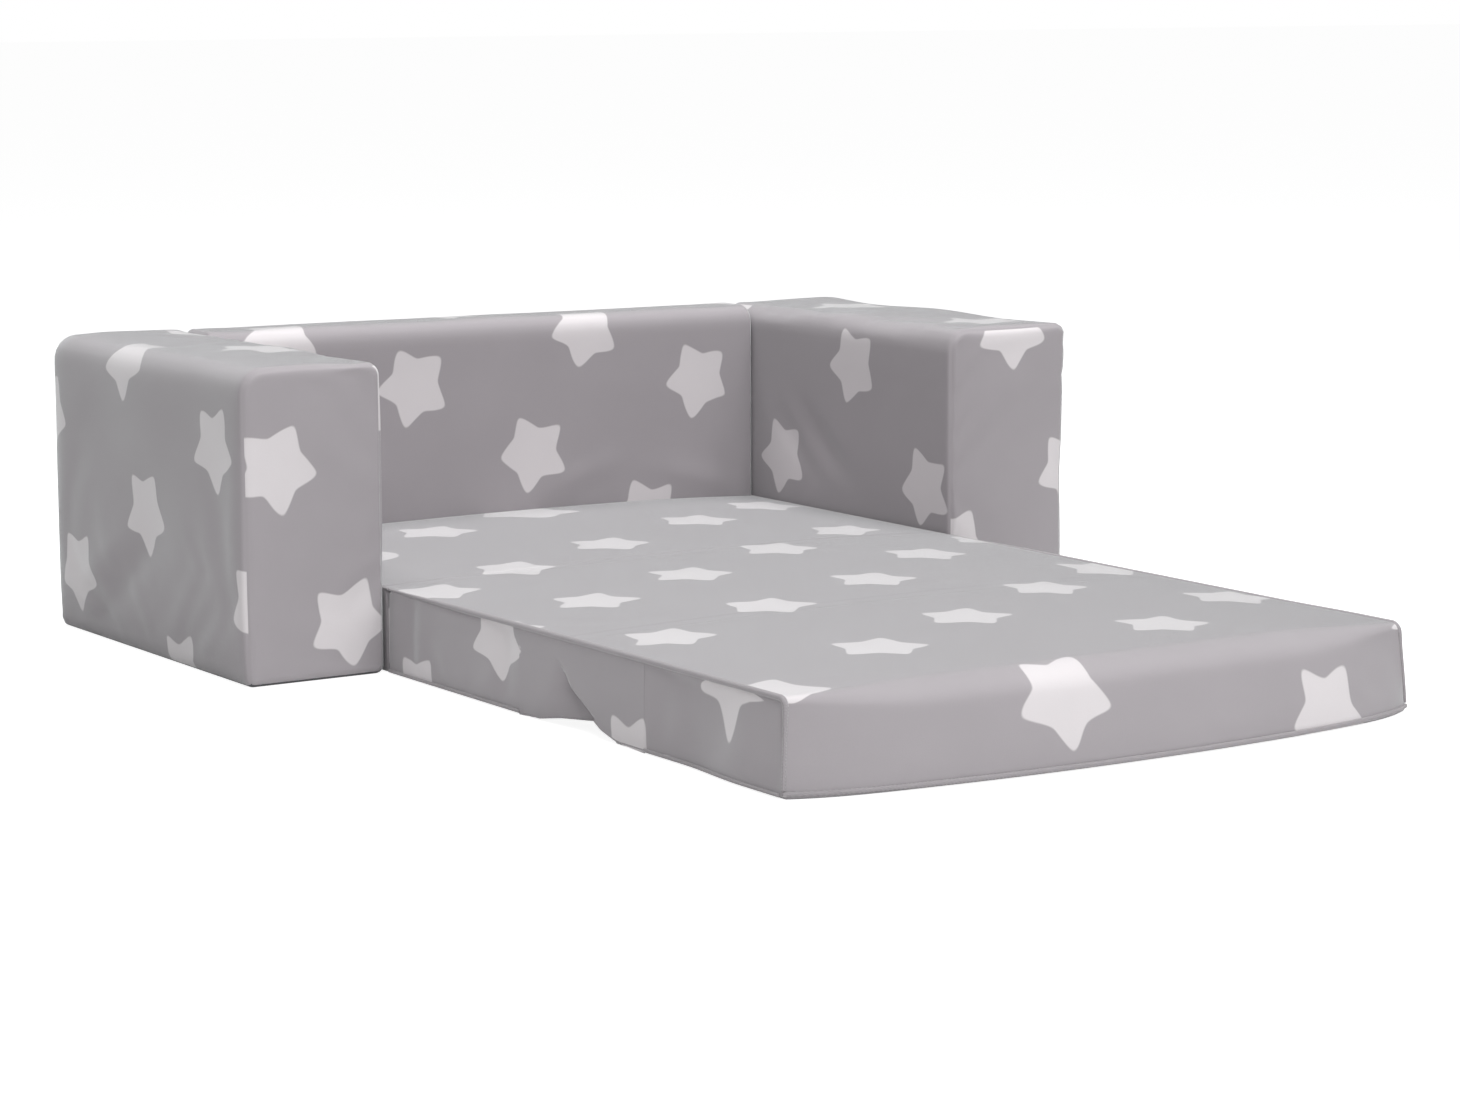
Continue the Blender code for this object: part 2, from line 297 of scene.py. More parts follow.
@dataclass(frozen=True)
class StarRepeat:
    """The star print before cutting: its repeat and the shape of one star, in metres.

    The outline wanders a little, in cells of the given number per metre, and a star's
    points are blunted by the softness, a share between 0 and 1.
    """

    step: Point2 = (0.127, 0.063)
    rise: Point2 = (-0.042, 0.118)
    points: int = 5
    tip: float = 0.0402
    notch: float = 0.0226
    softness: float = 0.125
    wander: float = 0.0032
    wander_cells: float = 27.0
    edge: float = 0.0007

    def corner(self, repeat: tuple[int, int]) -> np.ndarray:
        """Place of the star with these repeat numbers."""
        return repeat[0] * np.array(self.step) + repeat[1] * np.array(self.rise)

    def mask(self, paint: Paint) -> Value:
        """Draws the stars on the cloth.

        Args:
            paint: Material that gets the nodes.

        Returns:
            1 inside a star and 0 on the ground colour.
        """
        place = paint.layer("print")
        cells = {"Vector": place, "Scale": self.wander_cells, "Detail": 0.5}
        drift = paint.node("ShaderNodeTexNoise", {"noise_dimensions": "2D"}, cells, "Color")
        drift = paint.vector("SUBTRACT", drift, (0.5, 0.5, 0.5))
        drift = paint.vector("MULTIPLY", drift, (self.wander * 2,) * 3)
        u, v, _ = paint.split(paint.vector("ADD", place, drift))
        (step_u, step_v), (rise_u, rise_v) = self.step, self.rise
        area = step_u * rise_v - step_v * rise_u
        along = u * (rise_v / area) - v * (rise_u / area)
        across = v * (step_u / area) - u * (step_v / area)
        along, across = along - along.rounded(), across - across.rounded()
        du, dv = along * step_u + across * rise_u, along * step_v + across * rise_v
        reach = (du * du + dv * dv).root()
        turn = paint.node("ShaderNodeAttribute", {"attribute_name": "tip_turn"}, output="Fac")
        sector = ((dv.angle_over(du) - turn) * float(self.points)).cosine() * (1.0 - self.softness)
        sector = sector.arccosine() * (1 / self.points)
        lobe = math.pi / self.points
        run, rise = self.tip - self.notch * math.cos(lobe), self.notch * math.sin(lobe)
        length = math.hypot(run, rise)
        outside = (sector.cosine() * reach - self.tip) * (rise / length)
        outside = outside + sector.sine() * reach * (run / length)
        return outside.ease(self.edge, -self.edge)


PRINT = StarRepeat()


@dataclass(frozen=True)
class Cut:
    """How one panel was cut from the printed cloth.

    A star keeps its shape round its own centre, and the ground between the
    stars takes up what the centres depart from the exact repeat. Turns are in
    degrees, and centres in millimetres on the flat panel by repeat numbers.
    """

    turn: float
    tips: float
    stars: Mapping[tuple[int, int], Point2]
    stretch: Mapping[tuple[int, int], Point2] = field(default_factory=dict)

    @property
    def tip_turn(self) -> float:
        """Direction of a star tip in the print, in radians."""
        return math.radians(self.tips + self.turn)

    def lay(self, cloth: np.ndarray) -> np.ndarray:
        """Finds where points of the panel lie on the print.

        Args:
            cloth: Points on the flat panel in metres, with the pair as last axis.

        Returns:
            The same points in the metres of the print.
        """
        angle = math.radians(self.turn)
        turning = np.array([[math.cos(angle), math.sin(angle)], [-math.sin(angle), math.cos(angle)]])
        laid, total = np.zeros_like(cloth), np.zeros(cloth.shape[:-1] + (1,))
        for repeat, centre in self.stars.items():
            reach = cloth - np.array(centre) * MM
            weight = (np.sum(reach**2, axis=-1, keepdims=True) + MM**2) ** -3.0
            shaped = (reach / self.stretch.get(repeat, (1.0, 1.0))) @ turning
            laid += weight * (PRINT.corner(repeat) + shaped)
            total += weight
        return laid / total


OUTER_WRAP = Cut(0, 59, {
    (0, 0): (-176, 115), (0, 1): (-215, 234), (1, 0): (-50, 178), (-1, 0): (-306, 54),
    (-1, 1): (-359, 178), (0, -1): (-118, -5), (1, -1): (12, 64), (1, 1): (-135, 313),
    (0, 2): (-308, 344),
})
INNER_WRAP = Cut(68.3, 42, {
    (0, 0): (-143, 197), (1, 0): (-35, 100), (0, -1): (-253, 106), (0, 1): (-60, 305),
    (-1, 0): (-253, 302),
})
LEFT_FRONT = Cut(0, 64, {(0, 0): (-364, 165), (0, -1): (-305, 44)})
RIGHT_FRONT = Cut(0, 56, {(0, 0): (333, 238), (0, -1): (396, 113), (-1, -1): (274, 53)})
BACK_FRONT = Cut(49.6, 42, {
    (0, 0): (-80, 184), (1, 0): (39, 119), (-1, 0): (-204, 233), (1, 1): (93, 225),
    (2, 1): (210, 175), (2, 0): (155, 56),
})
PAD_SIDE = Cut(
    0, 60, {(0, 0): (49, -9), (1, 0): (171, 54), (2, -1): (357, -7), (3, -1): (479, 59)},
    {(1, 0): (1.05, 0.9), (3, -1): (1.05, 0.9)},
)
PAD_TOP = Cut(80, 52, {
    (0, 0): (-53, -96), (1, 0): (51, -197), (2, 0): (138, -302), (3, 0): (238, -400),
    (-1, 0): (-148, 14), (1, -1): (-85, -255), (2, -1): (5, -378), (3, -1): (104, -482),
    (0, -1): (-177, -155), (2, -2): (-119, -443), (1, -2): (-214, -318), (-1, 1): (-21, 78),
    (0, 1): (80, -22), (1, 1): (168, -106), (-1, 2): (117, 157), (-1, -1): (-250, -42),
    (-2, 1): (-104, 223), (2, -3): (-263, -520), (3, -2): (-60, -581), (4, -1): (176, -609),
    (3, -3): (-190, -700),
}, {(3, -2): (1.1, 1.04), (4, -1): (1.1, 1.04)})
PLAIN_LAY = Cut(12, 59, {(0, 0): (30, 60)})


# ---- finishes


class Finish(ABC):
    """One finish of the sofa, mixed into a Principled shader."""

    name: ClassVar[str]

    @abstractmethod
    def mix(self, paint: Paint) -> dict[str, object]:
        """Adds the finish's own nodes.

        Args:
            paint: Material that gets the nodes.

        Returns:
            Value or link of each socket.
        """

    def make(self) -> bpy.types.Material:
        """Mixes the finish and returns its material."""
        paint = Paint.of(self.name)
        return paint.finish(paint.node("ShaderNodeBsdfPrincipled", {}, self.mix(paint)))


@dataclass(frozen=True)
class PrintedCover(Finish):
    """Brushed polyester cover, grey with pale stars, worn a little along its edges."""

    name = "printed_cover"
    ground: Colour = (0.326, 0.306, 0.321, 1.0)
    star: Colour = (0.602, 0.575, 0.588, 1.0)
    sheen: float = 1.0
    sheen_roughness: float = 0.3
    sheen_tint: Colour = (0.935, 1.0, 0.99, 1.0)
    thread: float = 0.0009
    fibre_cells: float = 900.0
    mottle_cells: float = 16.0
    nap_depth: float = 0.00035

    def mix(self, paint: Paint) -> dict[str, object]:
        """Prints the stars on the cloth, then adds weave, fibres, mottling and rubbed edges.

        Args:
            paint: Material that gets the nodes.

        Returns:
            Value or link of each socket.
        """
        cloth = paint.layer("cloth")
        body = paint.place()
        mask = PRINT.mask(paint)
        fibres = paint.speckle(cloth, self.fibre_cells, 3.0)
        mottle = paint.speckle(body, self.mottle_cells, 3.0)
        rub = self._rub(paint)
        shade = 0.965 + fibres * 0.05 + (mottle - 0.5) * 0.07 + rub * 0.03
        u, v, _ = paint.split(cloth)
        pitch = 2 * math.pi / self.thread
        weave = (u * pitch).sine() * (v * pitch).sine()
        nap = weave * 0.35 + fibres * 0.8 - mask * 0.35
        return {
            "Base Color": paint.tint(paint.blend(mask, self.ground, self.star), shade),
            "Roughness": 0.9 - mask * 0.08 - rub * 0.05,
            "Sheen Weight": self.sheen,
            "Sheen Roughness": self.sheen_roughness,
            "Sheen Tint": self.sheen_tint,
            "Specular IOR Level": 0.25,
            "Normal": paint.relief(nap, 0.35, self.nap_depth),
        }

    @staticmethod
    def _rub(paint: Paint) -> Value:
        """Masks the rounded edges, where the surface faces between two sides of the block.

        Args:
            paint: Material that gets the nodes.

        Returns:
            0 on the flat sides and 1 on the edges.
        """
        facing = paint.split(paint.node("ShaderNodeTexCoord", output="Normal"))
        squareness = facing[0].size().larger(facing[1].size()).larger(facing[2].size())
        return squareness.ease(0.96, 0.8)


@dataclass(frozen=True)
class SeamWelt(Finish):
    """Narrow bound seam in the ground colour, ribbed by its stitches."""

    name = "seam_welt"
    colour: Colour = (0.305, 0.288, 0.301, 1.0)
    fibre_cells: float = 1400.0
    stitch: float = 0.0026
    depth: float = 0.0004

    def mix(self, paint: Paint) -> dict[str, object]:
        """Lays fibres and a rib for every stitch over the plain colour.

        Args:
            paint: Material that gets the nodes.

        Returns:
            Value or link of each socket.
        """
        body = paint.place()
        fibres = paint.speckle(body, self.fibre_cells, 3.0)
        x, y, z = paint.split(body)
        ribs = ((x + y + z) * (2 * math.pi / self.stitch)).sine()
        return {
            "Base Color": paint.tint(self.colour, 0.94 + fibres * 0.1 + ribs * 0.02),
            "Roughness": 0.86 + fibres * 0.08,
            "Sheen Weight": 0.8,
            "Sheen Roughness": 0.3,
            "Specular IOR Level": 0.25,
            "Normal": paint.relief(fibres * 0.6 + ribs * 0.4, 0.5, self.depth),
        }


@dataclass(frozen=True)
class BaseLining(Finish):
    """Thin dark lining under the arms and the back, with a grid of small non-slip dots."""

    name = "base_lining"
    cloth: Colour = (0.085, 0.085, 0.09, 1.0)
    dot: Colour = (0.17, 0.17, 0.175, 1.0)
    spacing: float = 0.008
    fibre_cells: float = 1100.0
    depth: float = 0.0005

    def mix(self, paint: Paint) -> dict[str, object]:
        """Sets the dots on the cloth, raised and smoother than it.

        Args:
            paint: Material that gets the nodes.

        Returns:
            Value or link of each socket.
        """
        place = paint.layer("cloth")
        u, v, _ = paint.split(place)
        u, v = u / self.spacing, v / self.spacing
        u, v = u - u.rounded(), v - v.rounded()
        dots = (u * u + v * v).root().ease(0.24, 0.18)
        fibres = paint.speckle(place, self.fibre_cells, 3.0)
        return {
            "Base Color": paint.tint(paint.blend(dots, self.cloth, self.dot), 0.9 + fibres * 0.2),
            "Roughness": 0.92 - dots * 0.4,
            "Normal": paint.relief(dots + fibres * 0.25, 0.6, self.depth),
        }


@dataclass(frozen=True)
class ZipNylon(Finish):
    """Grey woven tape and moulded coil of the zip."""

    name = "zip_nylon"
    colour: Colour = (0.20, 0.195, 0.2, 1.0)
    fibre_cells: float = 1600.0
    thread: float = 0.0012
    depth: float = 0.0002

    def mix(self, paint: Paint) -> dict[str, object]:
        """Weaves a slanted twill with loose fibres.

        Args:
            paint: Material that gets the nodes.

        Returns:
            Value or link of each socket.
        """
        body = paint.place()
        x, _, z = paint.split(body)
        twill = ((x + z * 1.7) * (2 * math.pi / self.thread)).sine()
        fibres = paint.speckle(body, self.fibre_cells, 2.0)
        return {
            "Base Color": paint.tint(self.colour, 0.92 + twill * 0.04 + fibres * 0.1),
            "Roughness": 0.5 + fibres * 0.25,
            "Normal": paint.relief(twill * 0.5 + fibres * 0.5, 0.5, self.depth),
        }


@dataclass(frozen=True)
class ZipMetal(Finish):
    """Nickel-plated zinc of the slider and stops, with fine rubbing marks."""

    name = "zip_metal"
    colour: Colour = (0.62, 0.6, 0.57, 1.0)
    mark_cells: float = 2400.0
    cloud_cells: float = 300.0
    depth: float = 0.0001

    def mix(self, paint: Paint) -> dict[str, object]:
        """Clouds the plating and marks it where it is rubbed.

        Args:
            paint: Material that gets the nodes.

        Returns:
            Value or link of each socket.
        """
        body = paint.place()
        marks = paint.speckle(body, self.mark_cells, 4.0)
        cloud = paint.speckle(body, self.cloud_cells, 2.0)
        return {
            "Base Color": paint.tint(self.colour, 0.88 + cloud * 0.2),
            "Metallic": 1.0,
            "Roughness": 0.26 + cloud * 0.12 + marks * 0.08,
            "Normal": paint.relief(marks, 0.15, self.depth),
        }


@dataclass
class Wardrobe:
    """All finishes of the sofa, mixed once."""

    cover: bpy.types.Material = field(default_factory=PrintedCover().make)
    welt: bpy.types.Material = field(default_factory=SeamWelt().make)
    lining: bpy.types.Material = field(default_factory=BaseLining().make)
    nylon: bpy.types.Material = field(default_factory=ZipNylon().make)
    metal: bpy.types.Material = field(default_factory=ZipMetal().make)


# ---- cloth kit


class Skin:
    """Panels of one covered piece, gathered and then sewn into a single mesh."""

    sharpness = math.radians(50)

    def __init__(self, name: str) -> None:
        """Starts an empty piece.

        Args:
            name: Name of the piece.
        """
        self.name = name
        self.points: list[np.ndarray] = []
        self.faces: list[np.ndarray] = []
        self.cloth: list[np.ndarray] = []
        self.prints: list[np.ndarray] = []
        self.turns: list[np.ndarray] = []
        self.marks: list[np.ndarray] = []
        self.finishes: list[bpy.types.Material] = []
        self.count = 0

    def add(
        self, points: np.ndarray, cloth: np.ndarray, finish: bpy.types.Material, cut: Cut = PLAIN_LAY
    ) -> None:
        """Adds one panel.

        Args:
            points: Grid of points in metres, rows by columns by three.
            cloth: The same points on the flat panel, rows by columns by two.
            finish: Material of the panel.
            cut: How the panel was cut from the print.
        """
        rows, columns = points.shape[:2]
        index = np.arange(rows * columns).reshape(rows, columns)
        quads = np.stack([index[:-1, :-1], index[1:, :-1], index[1:, 1:], index[:-1, 1:]], axis=-1)
        quads = quads.reshape(-1, 4)
        if finish not in self.finishes:
            self.finishes.append(finish)
        self.points.append(points.reshape(-1, 3))
        self.faces.append(self.count + quads)
        self.cloth.append(cloth.reshape(-1, 2)[quads].reshape(-1, 2))
        self.prints.append(cut.lay(cloth).reshape(-1, 2)[quads].reshape(-1, 2))
        self.turns.append(np.full(len(quads), cut.tip_turn))
        self.marks.append(np.full(len(quads), self.finishes.index(finish)))
        self.count += rows * columns

    def add_sheet(
        self, outer: np.ndarray, inner: np.ndarray, cloth: np.ndarray, finish: bpy.types.Material,
        cut: Cut = PLAIN_LAY,
    ) -> None:
        """Adds a sheet with both its faces and its four narrow edges.

        Args:
            outer: Grid of points of the outer face in metres.
            inner: The same points on the inner face.
            cloth: The same points on the flat panel.
            finish: Material of the sheet.
            cut: How the sheet was cut from the print.
        """
        self.add(outer, cloth, finish, cut)
        self.add(inner[::-1], cloth[::-1], finish, cut)
        for edge in (np.s_[0], np.s_[-1], np.s_[:, 0], np.s_[:, -1]):
            self.add(np.stack([outer[edge], inner[edge]]), np.stack([cloth[edge]] * 2), finish, cut)

    def sew(self, gap: float = 2e-5) -> bpy.types.Object:
        """Joins the panels along their shared edges.

        Args:
            gap: Largest distance that a stitch closes, in metres.

        Returns:
            The finished object, smooth shaded, with its cloth and print coordinates.
        """
        mesh = bpy.data.meshes.new(self.name)
        faces = np.concatenate(self.faces)
        mesh.from_pydata(np.concatenate(self.points).tolist(), [], faces.tolist())
        for layer, corners in (("cloth", self.cloth), ("print", self.prints)):
            uv = mesh.uv_layers.new(name=layer)
            uv.data.foreach_set("uv", np.concatenate(corners).astype(np.float32).ravel())
        turn = mesh.attributes.new("tip_turn", "FLOAT", "FACE")
        turn.data.foreach_set("value", np.concatenate(self.turns).astype(np.float32))
        mesh.polygons.foreach_set("material_index", np.concatenate(self.marks).astype(np.int32))
        for finish in self.finishes:
            mesh.materials.append(finish)
        shape = bmesh.new()
        shape.from_mesh(mesh)
        bmesh.ops.remove_doubles(shape, verts=shape.verts, dist=gap)
        bmesh.ops.dissolve_degenerate(shape, edges=shape.edges, dist=gap / 2)
        bmesh.ops.recalc_face_normals(shape, faces=shape.faces)
        for part in shape.faces:
            part.smooth = True
        for border in shape.edges:
            border.smooth = border.calc_face_angle(0.0) < self.sharpness
        shape.to_mesh(mesh)
        shape.free()
        return show(self.name, mesh)


@dataclass(frozen=True)
class Crease:
    """A soft fold along a straight line between two points, raised or, below 0, sunk."""

    start: Point3
    end: Point3
    width: float
    height: float
    blunt: float = 0.08

    def lift(self, points: np.ndarray) -> np.ndarray:
        """Height of the fold at each point.

        Args:
            points: Points in metres, with the triple as last axis.

        Returns:
            How far each point stands out, in metres.
        """
        start, run = np.array(self.start), np.array(self.end) - np.array(self.start)
        along = np.clip(((points - start) @ run) / (run @ run), 0, 1)
        nearest = start + along[..., None] * run
        distance = np.linalg.norm(points - nearest, axis=-1)
        taper = np.sin(np.pi * (self.blunt + (1 - 2 * self.blunt) * along))
        return self.height * taper * np.exp(-((distance / self.width) ** 2))


@dataclass(frozen=True)
class Stuffing:
    """How the filling pushes a cover out: an overall swell, slow waves and folds."""

    swell: float = 0.002
    waves: float = 0.0009
    wavelength: float = 0.09
    seed: float = 0.0
    creases: Sequence[Crease] = ()

    def press(self, piece: bpy.types.Object, held: Callable[[Vector], float]) -> None:
        """Moves the vertices of a piece along their normals.

        Args:
            piece: Object to shape.
            held: Gives 0 where the cover is held fast and 1 where it is free.
        """
        mesh = piece.data
        places = np.array([vertex.co for vertex in mesh.vertices])
        normals = np.array([vertex.normal for vertex in mesh.vertices])
        lift = np.array([self._wave(Vector(place)) for place in places])
        for crease in self.creases:
            lift += crease.lift(places)
        lift = (lift + self.swell) * np.array([held(Vector(place)) for place in places])
        moved = places + normals * lift[:, None]
        mesh.vertices.foreach_set("co", moved.astype(np.float32).ravel())
        mesh.update()

    def _wave(self, place: Vector) -> float:
        """Slow unevenness at a place, about zero on average."""
        shifted = place / self.wavelength + Vector((self.seed, self.seed * 1.7, -self.seed))
        return noise.noise(shifted) * self.waves


@dataclass(frozen=True)
class Filling:
    """Cloth simulation of a slightly slack cover that its filling blows out.

    What it gives is kept in the mesh, and no point moves further than the cap.
    """

    pressure: float = 0.2
    slack: float = 0.004
    stiffness: float = 15.0
    bending: float = 0.5
    quality: int = 4
    mass: float = 0.3
    frames: int = 12
    cap: float = 0.0022
    inset: float = 0.0008

    def fill(self, piece: bpy.types.Object, held: Callable[[Vector], float]) -> None:
        """Blows a cover out from a slightly smaller shape, no further than its foam lets it go.

        Args:
            piece: Object to shape.
            held: Gives 0 where the cover is held fast and 1 where it is free.
        """
        mesh = piece.data
        first = np.array([vertex.co for vertex in mesh.vertices])
        free = np.array([held(Vector(place)) for place in first])
        normals = np.array([vertex.normal for vertex in mesh.vertices])
        start = first - normals * (self.inset * free)[:, None]
        mesh.vertices.foreach_set("co", start.astype(np.float32).ravel())
        mesh.update()
        moved = self._blown(piece, np.flatnonzero(free < 0.05)) - start
        reach = np.linalg.norm(moved, axis=1) + 1e-9
        share = free * self.cap * np.tanh(reach / self.cap) / reach
        mesh.vertices.foreach_set("co", (start + moved * share[:, None]).astype(np.float32).ravel())
        mesh.update()

    def _blown(self, piece: bpy.types.Object, fast: np.ndarray) -> np.ndarray:
        """Runs the simulation.

        Args:
            piece: Object to blow out.
            fast: Numbers of the vertices that can't move.

        Returns:
            Where every vertex ends, in metres.
        """
        scene = bpy.context.scene
        pins = piece.vertex_groups.new(name="held_fast")
        pins.add(fast.tolist(), 1.0, "REPLACE")
        cover = piece.modifiers.new("cover", "CLOTH")
        cloth = cover.settings
        cloth.quality, cloth.mass = self.quality, self.mass
        cloth.use_pressure, cloth.uniform_pressure_force = True, self.pressure
        cloth.tension_stiffness = cloth.compression_stiffness = self.stiffness
        cloth.shear_stiffness, cloth.bending_stiffness = self.stiffness / 3, self.bending
        cloth.shrink_min = -self.slack
        cloth.vertex_group_mass = pins.name
        cloth.effector_weights.gravity = 0.0
        cover.collision_settings.use_collision = False
        cover.point_cache.frame_start, cover.point_cache.frame_end = 1, self.frames
        for frame_number in range(1, self.frames + 1):
            scene.frame_set(frame_number)
        blown = piece.evaluated_get(bpy.context.evaluated_depsgraph_get())
        ends = np.array([vertex.co for vertex in blown.data.vertices])
        piece.modifiers.remove(cover)
        piece.vertex_groups.remove(pins)
        scene.frame_set(1)
        return ends


@dataclass(frozen=True)
class Outline:
    """Closed outline of a block seen from one end, with four rounded corners."""

    corners: Sequence[Point2]
    radii: Sequence[float]
    pitch: float = 0.007
    arc_steps: int = 4

    def sides(self) -> list[np.ndarray]:
        """Walks round the outline.

        Returns:
            For each of the four sides an array of rows (a, b, normal a, normal b), from
            the middle of one corner's rounding to the middle of the next.
        """
        corners = [np.array(corner, float) for corner in self.corners]
        arcs = [
            self._rounding(corners[i - 1], corners[i], corners[(i + 1) % 4], self.radii[i]) for i in range(4)
        ]
        sides = []
        for i in range(4):
            leaving, arriving = arcs[i][self.arc_steps:], arcs[(i + 1) % 4][: self.arc_steps + 1]
            run = np.linalg.norm(arriving[0][:2] - leaving[-1][:2])
            steps = max(1, round(run / self.pitch))
            blend = np.linspace(0, 1, steps + 1)[1:-1, None]
            straight = leaving[-1] * (1 - blend) + arriving[0] * blend
            sides.append(np.concatenate([leaving, straight, arriving]))
        return sides

    def corner_travel(self, number: int) -> float:
        """Measures round the outline to where a corner would be if its edges ran on to it.

        Args:
            number: Number of the corner.

        Returns:
            The distance in metres.
        """
        sides = self.sides()
        travel = sum(float(travelled(side)[-1]) for side in sides[:number])
        arc = sides[number][: self.arc_steps + 1]
        overshoot = np.linalg.norm(arc[-1, :2] - np.array(self.corners[number]))
        return travel + float(travelled(arc)[-1]) - float(overshoot)

    @property
    def _hand(self) -> int:
        """1 where the outline is walked clockwise and -1 where it isn't."""
        a, b = np.array(self.corners).T
        return -1 if np.dot(a, np.roll(b, -1)) > np.dot(b, np.roll(a, -1)) else 1

    def _rounding(
        self, before: np.ndarray, corner: np.ndarray, after: np.ndarray, radius: float
    ) -> np.ndarray:
        """Rounds one corner.

        Args:
            before: Corner before it.
            corner: The corner.
            after: Corner after it.
            radius: Radius in metres.

        Returns:
            Rows (a, b, normal a, normal b) along the rounding, normals outwards.
        """
        inward, outward = corner - before, after - corner
        inward, outward = inward / np.linalg.norm(inward), outward / np.linalg.norm(outward)
        first = np.array([-inward[1], inward[0]]) * self._hand
        last = np.array([-outward[1], outward[0]]) * self._hand
        turn = math.acos(float(np.clip(inward @ outward, -1, 1)))
        centre = corner - (first + last) * radius / (1 + math.cos(turn))
        rows = []
        for step in range(2 * self.arc_steps + 1):
            t = step / (2 * self.arc_steps)
            normal = (math.sin((1 - t) * turn) * first + math.sin(t * turn) * last) / math.sin(turn)
            rows.append(np.concatenate([centre + normal * radius, normal]))
        return np.array(rows)


def travelled(side: np.ndarray) -> np.ndarray:
    """Distance walked along a row of points up to each of them."""
    return np.concatenate([[0], np.cumsum(np.linalg.norm(np.diff(side[:, :2], axis=0), axis=1))])


def fill_cap(sides: Sequence[np.ndarray]) -> np.ndarray:
    """Spans a four-sided boundary with a grid.

    Args:
        sides: Four rows of points, each starting where the last one ends; opposite
            sides have the same number of points.

    Returns:
        Grid of points whose rim is the boundary.
    """
    left, top, right, bottom = sides[0], sides[1], sides[2][::-1], sides[3][::-1]
    rows, columns = len(left), len(top)
    s = np.linspace(0, 1, rows)[:, None, None]
    t = np.linspace(0, 1, columns)[None, :, None]
    across = left[:, None] * (1 - t) + right[:, None] * t
    up = bottom[None] * (1 - s) + top[None] * s
    corners = (
        left[0] * (1 - s) * (1 - t) + left[-1] * s * (1 - t) + right[0] * (1 - s) * t + right[-1] * s * t
    )
    return across + up - corners


def even_ends(side: np.ndarray, count: int) -> np.ndarray:
    """Spaces the points of a side evenly.

    Args:
        side: Row of points.
        count: Number of points to return.

    Returns:
        The new points along the same line.
    """
    travel = travelled(side)
    goal = np.linspace(0, travel[-1], count)
    return np.stack([np.interp(goal, travel, side[:, k]) for k in range(side.shape[1])], axis=1)


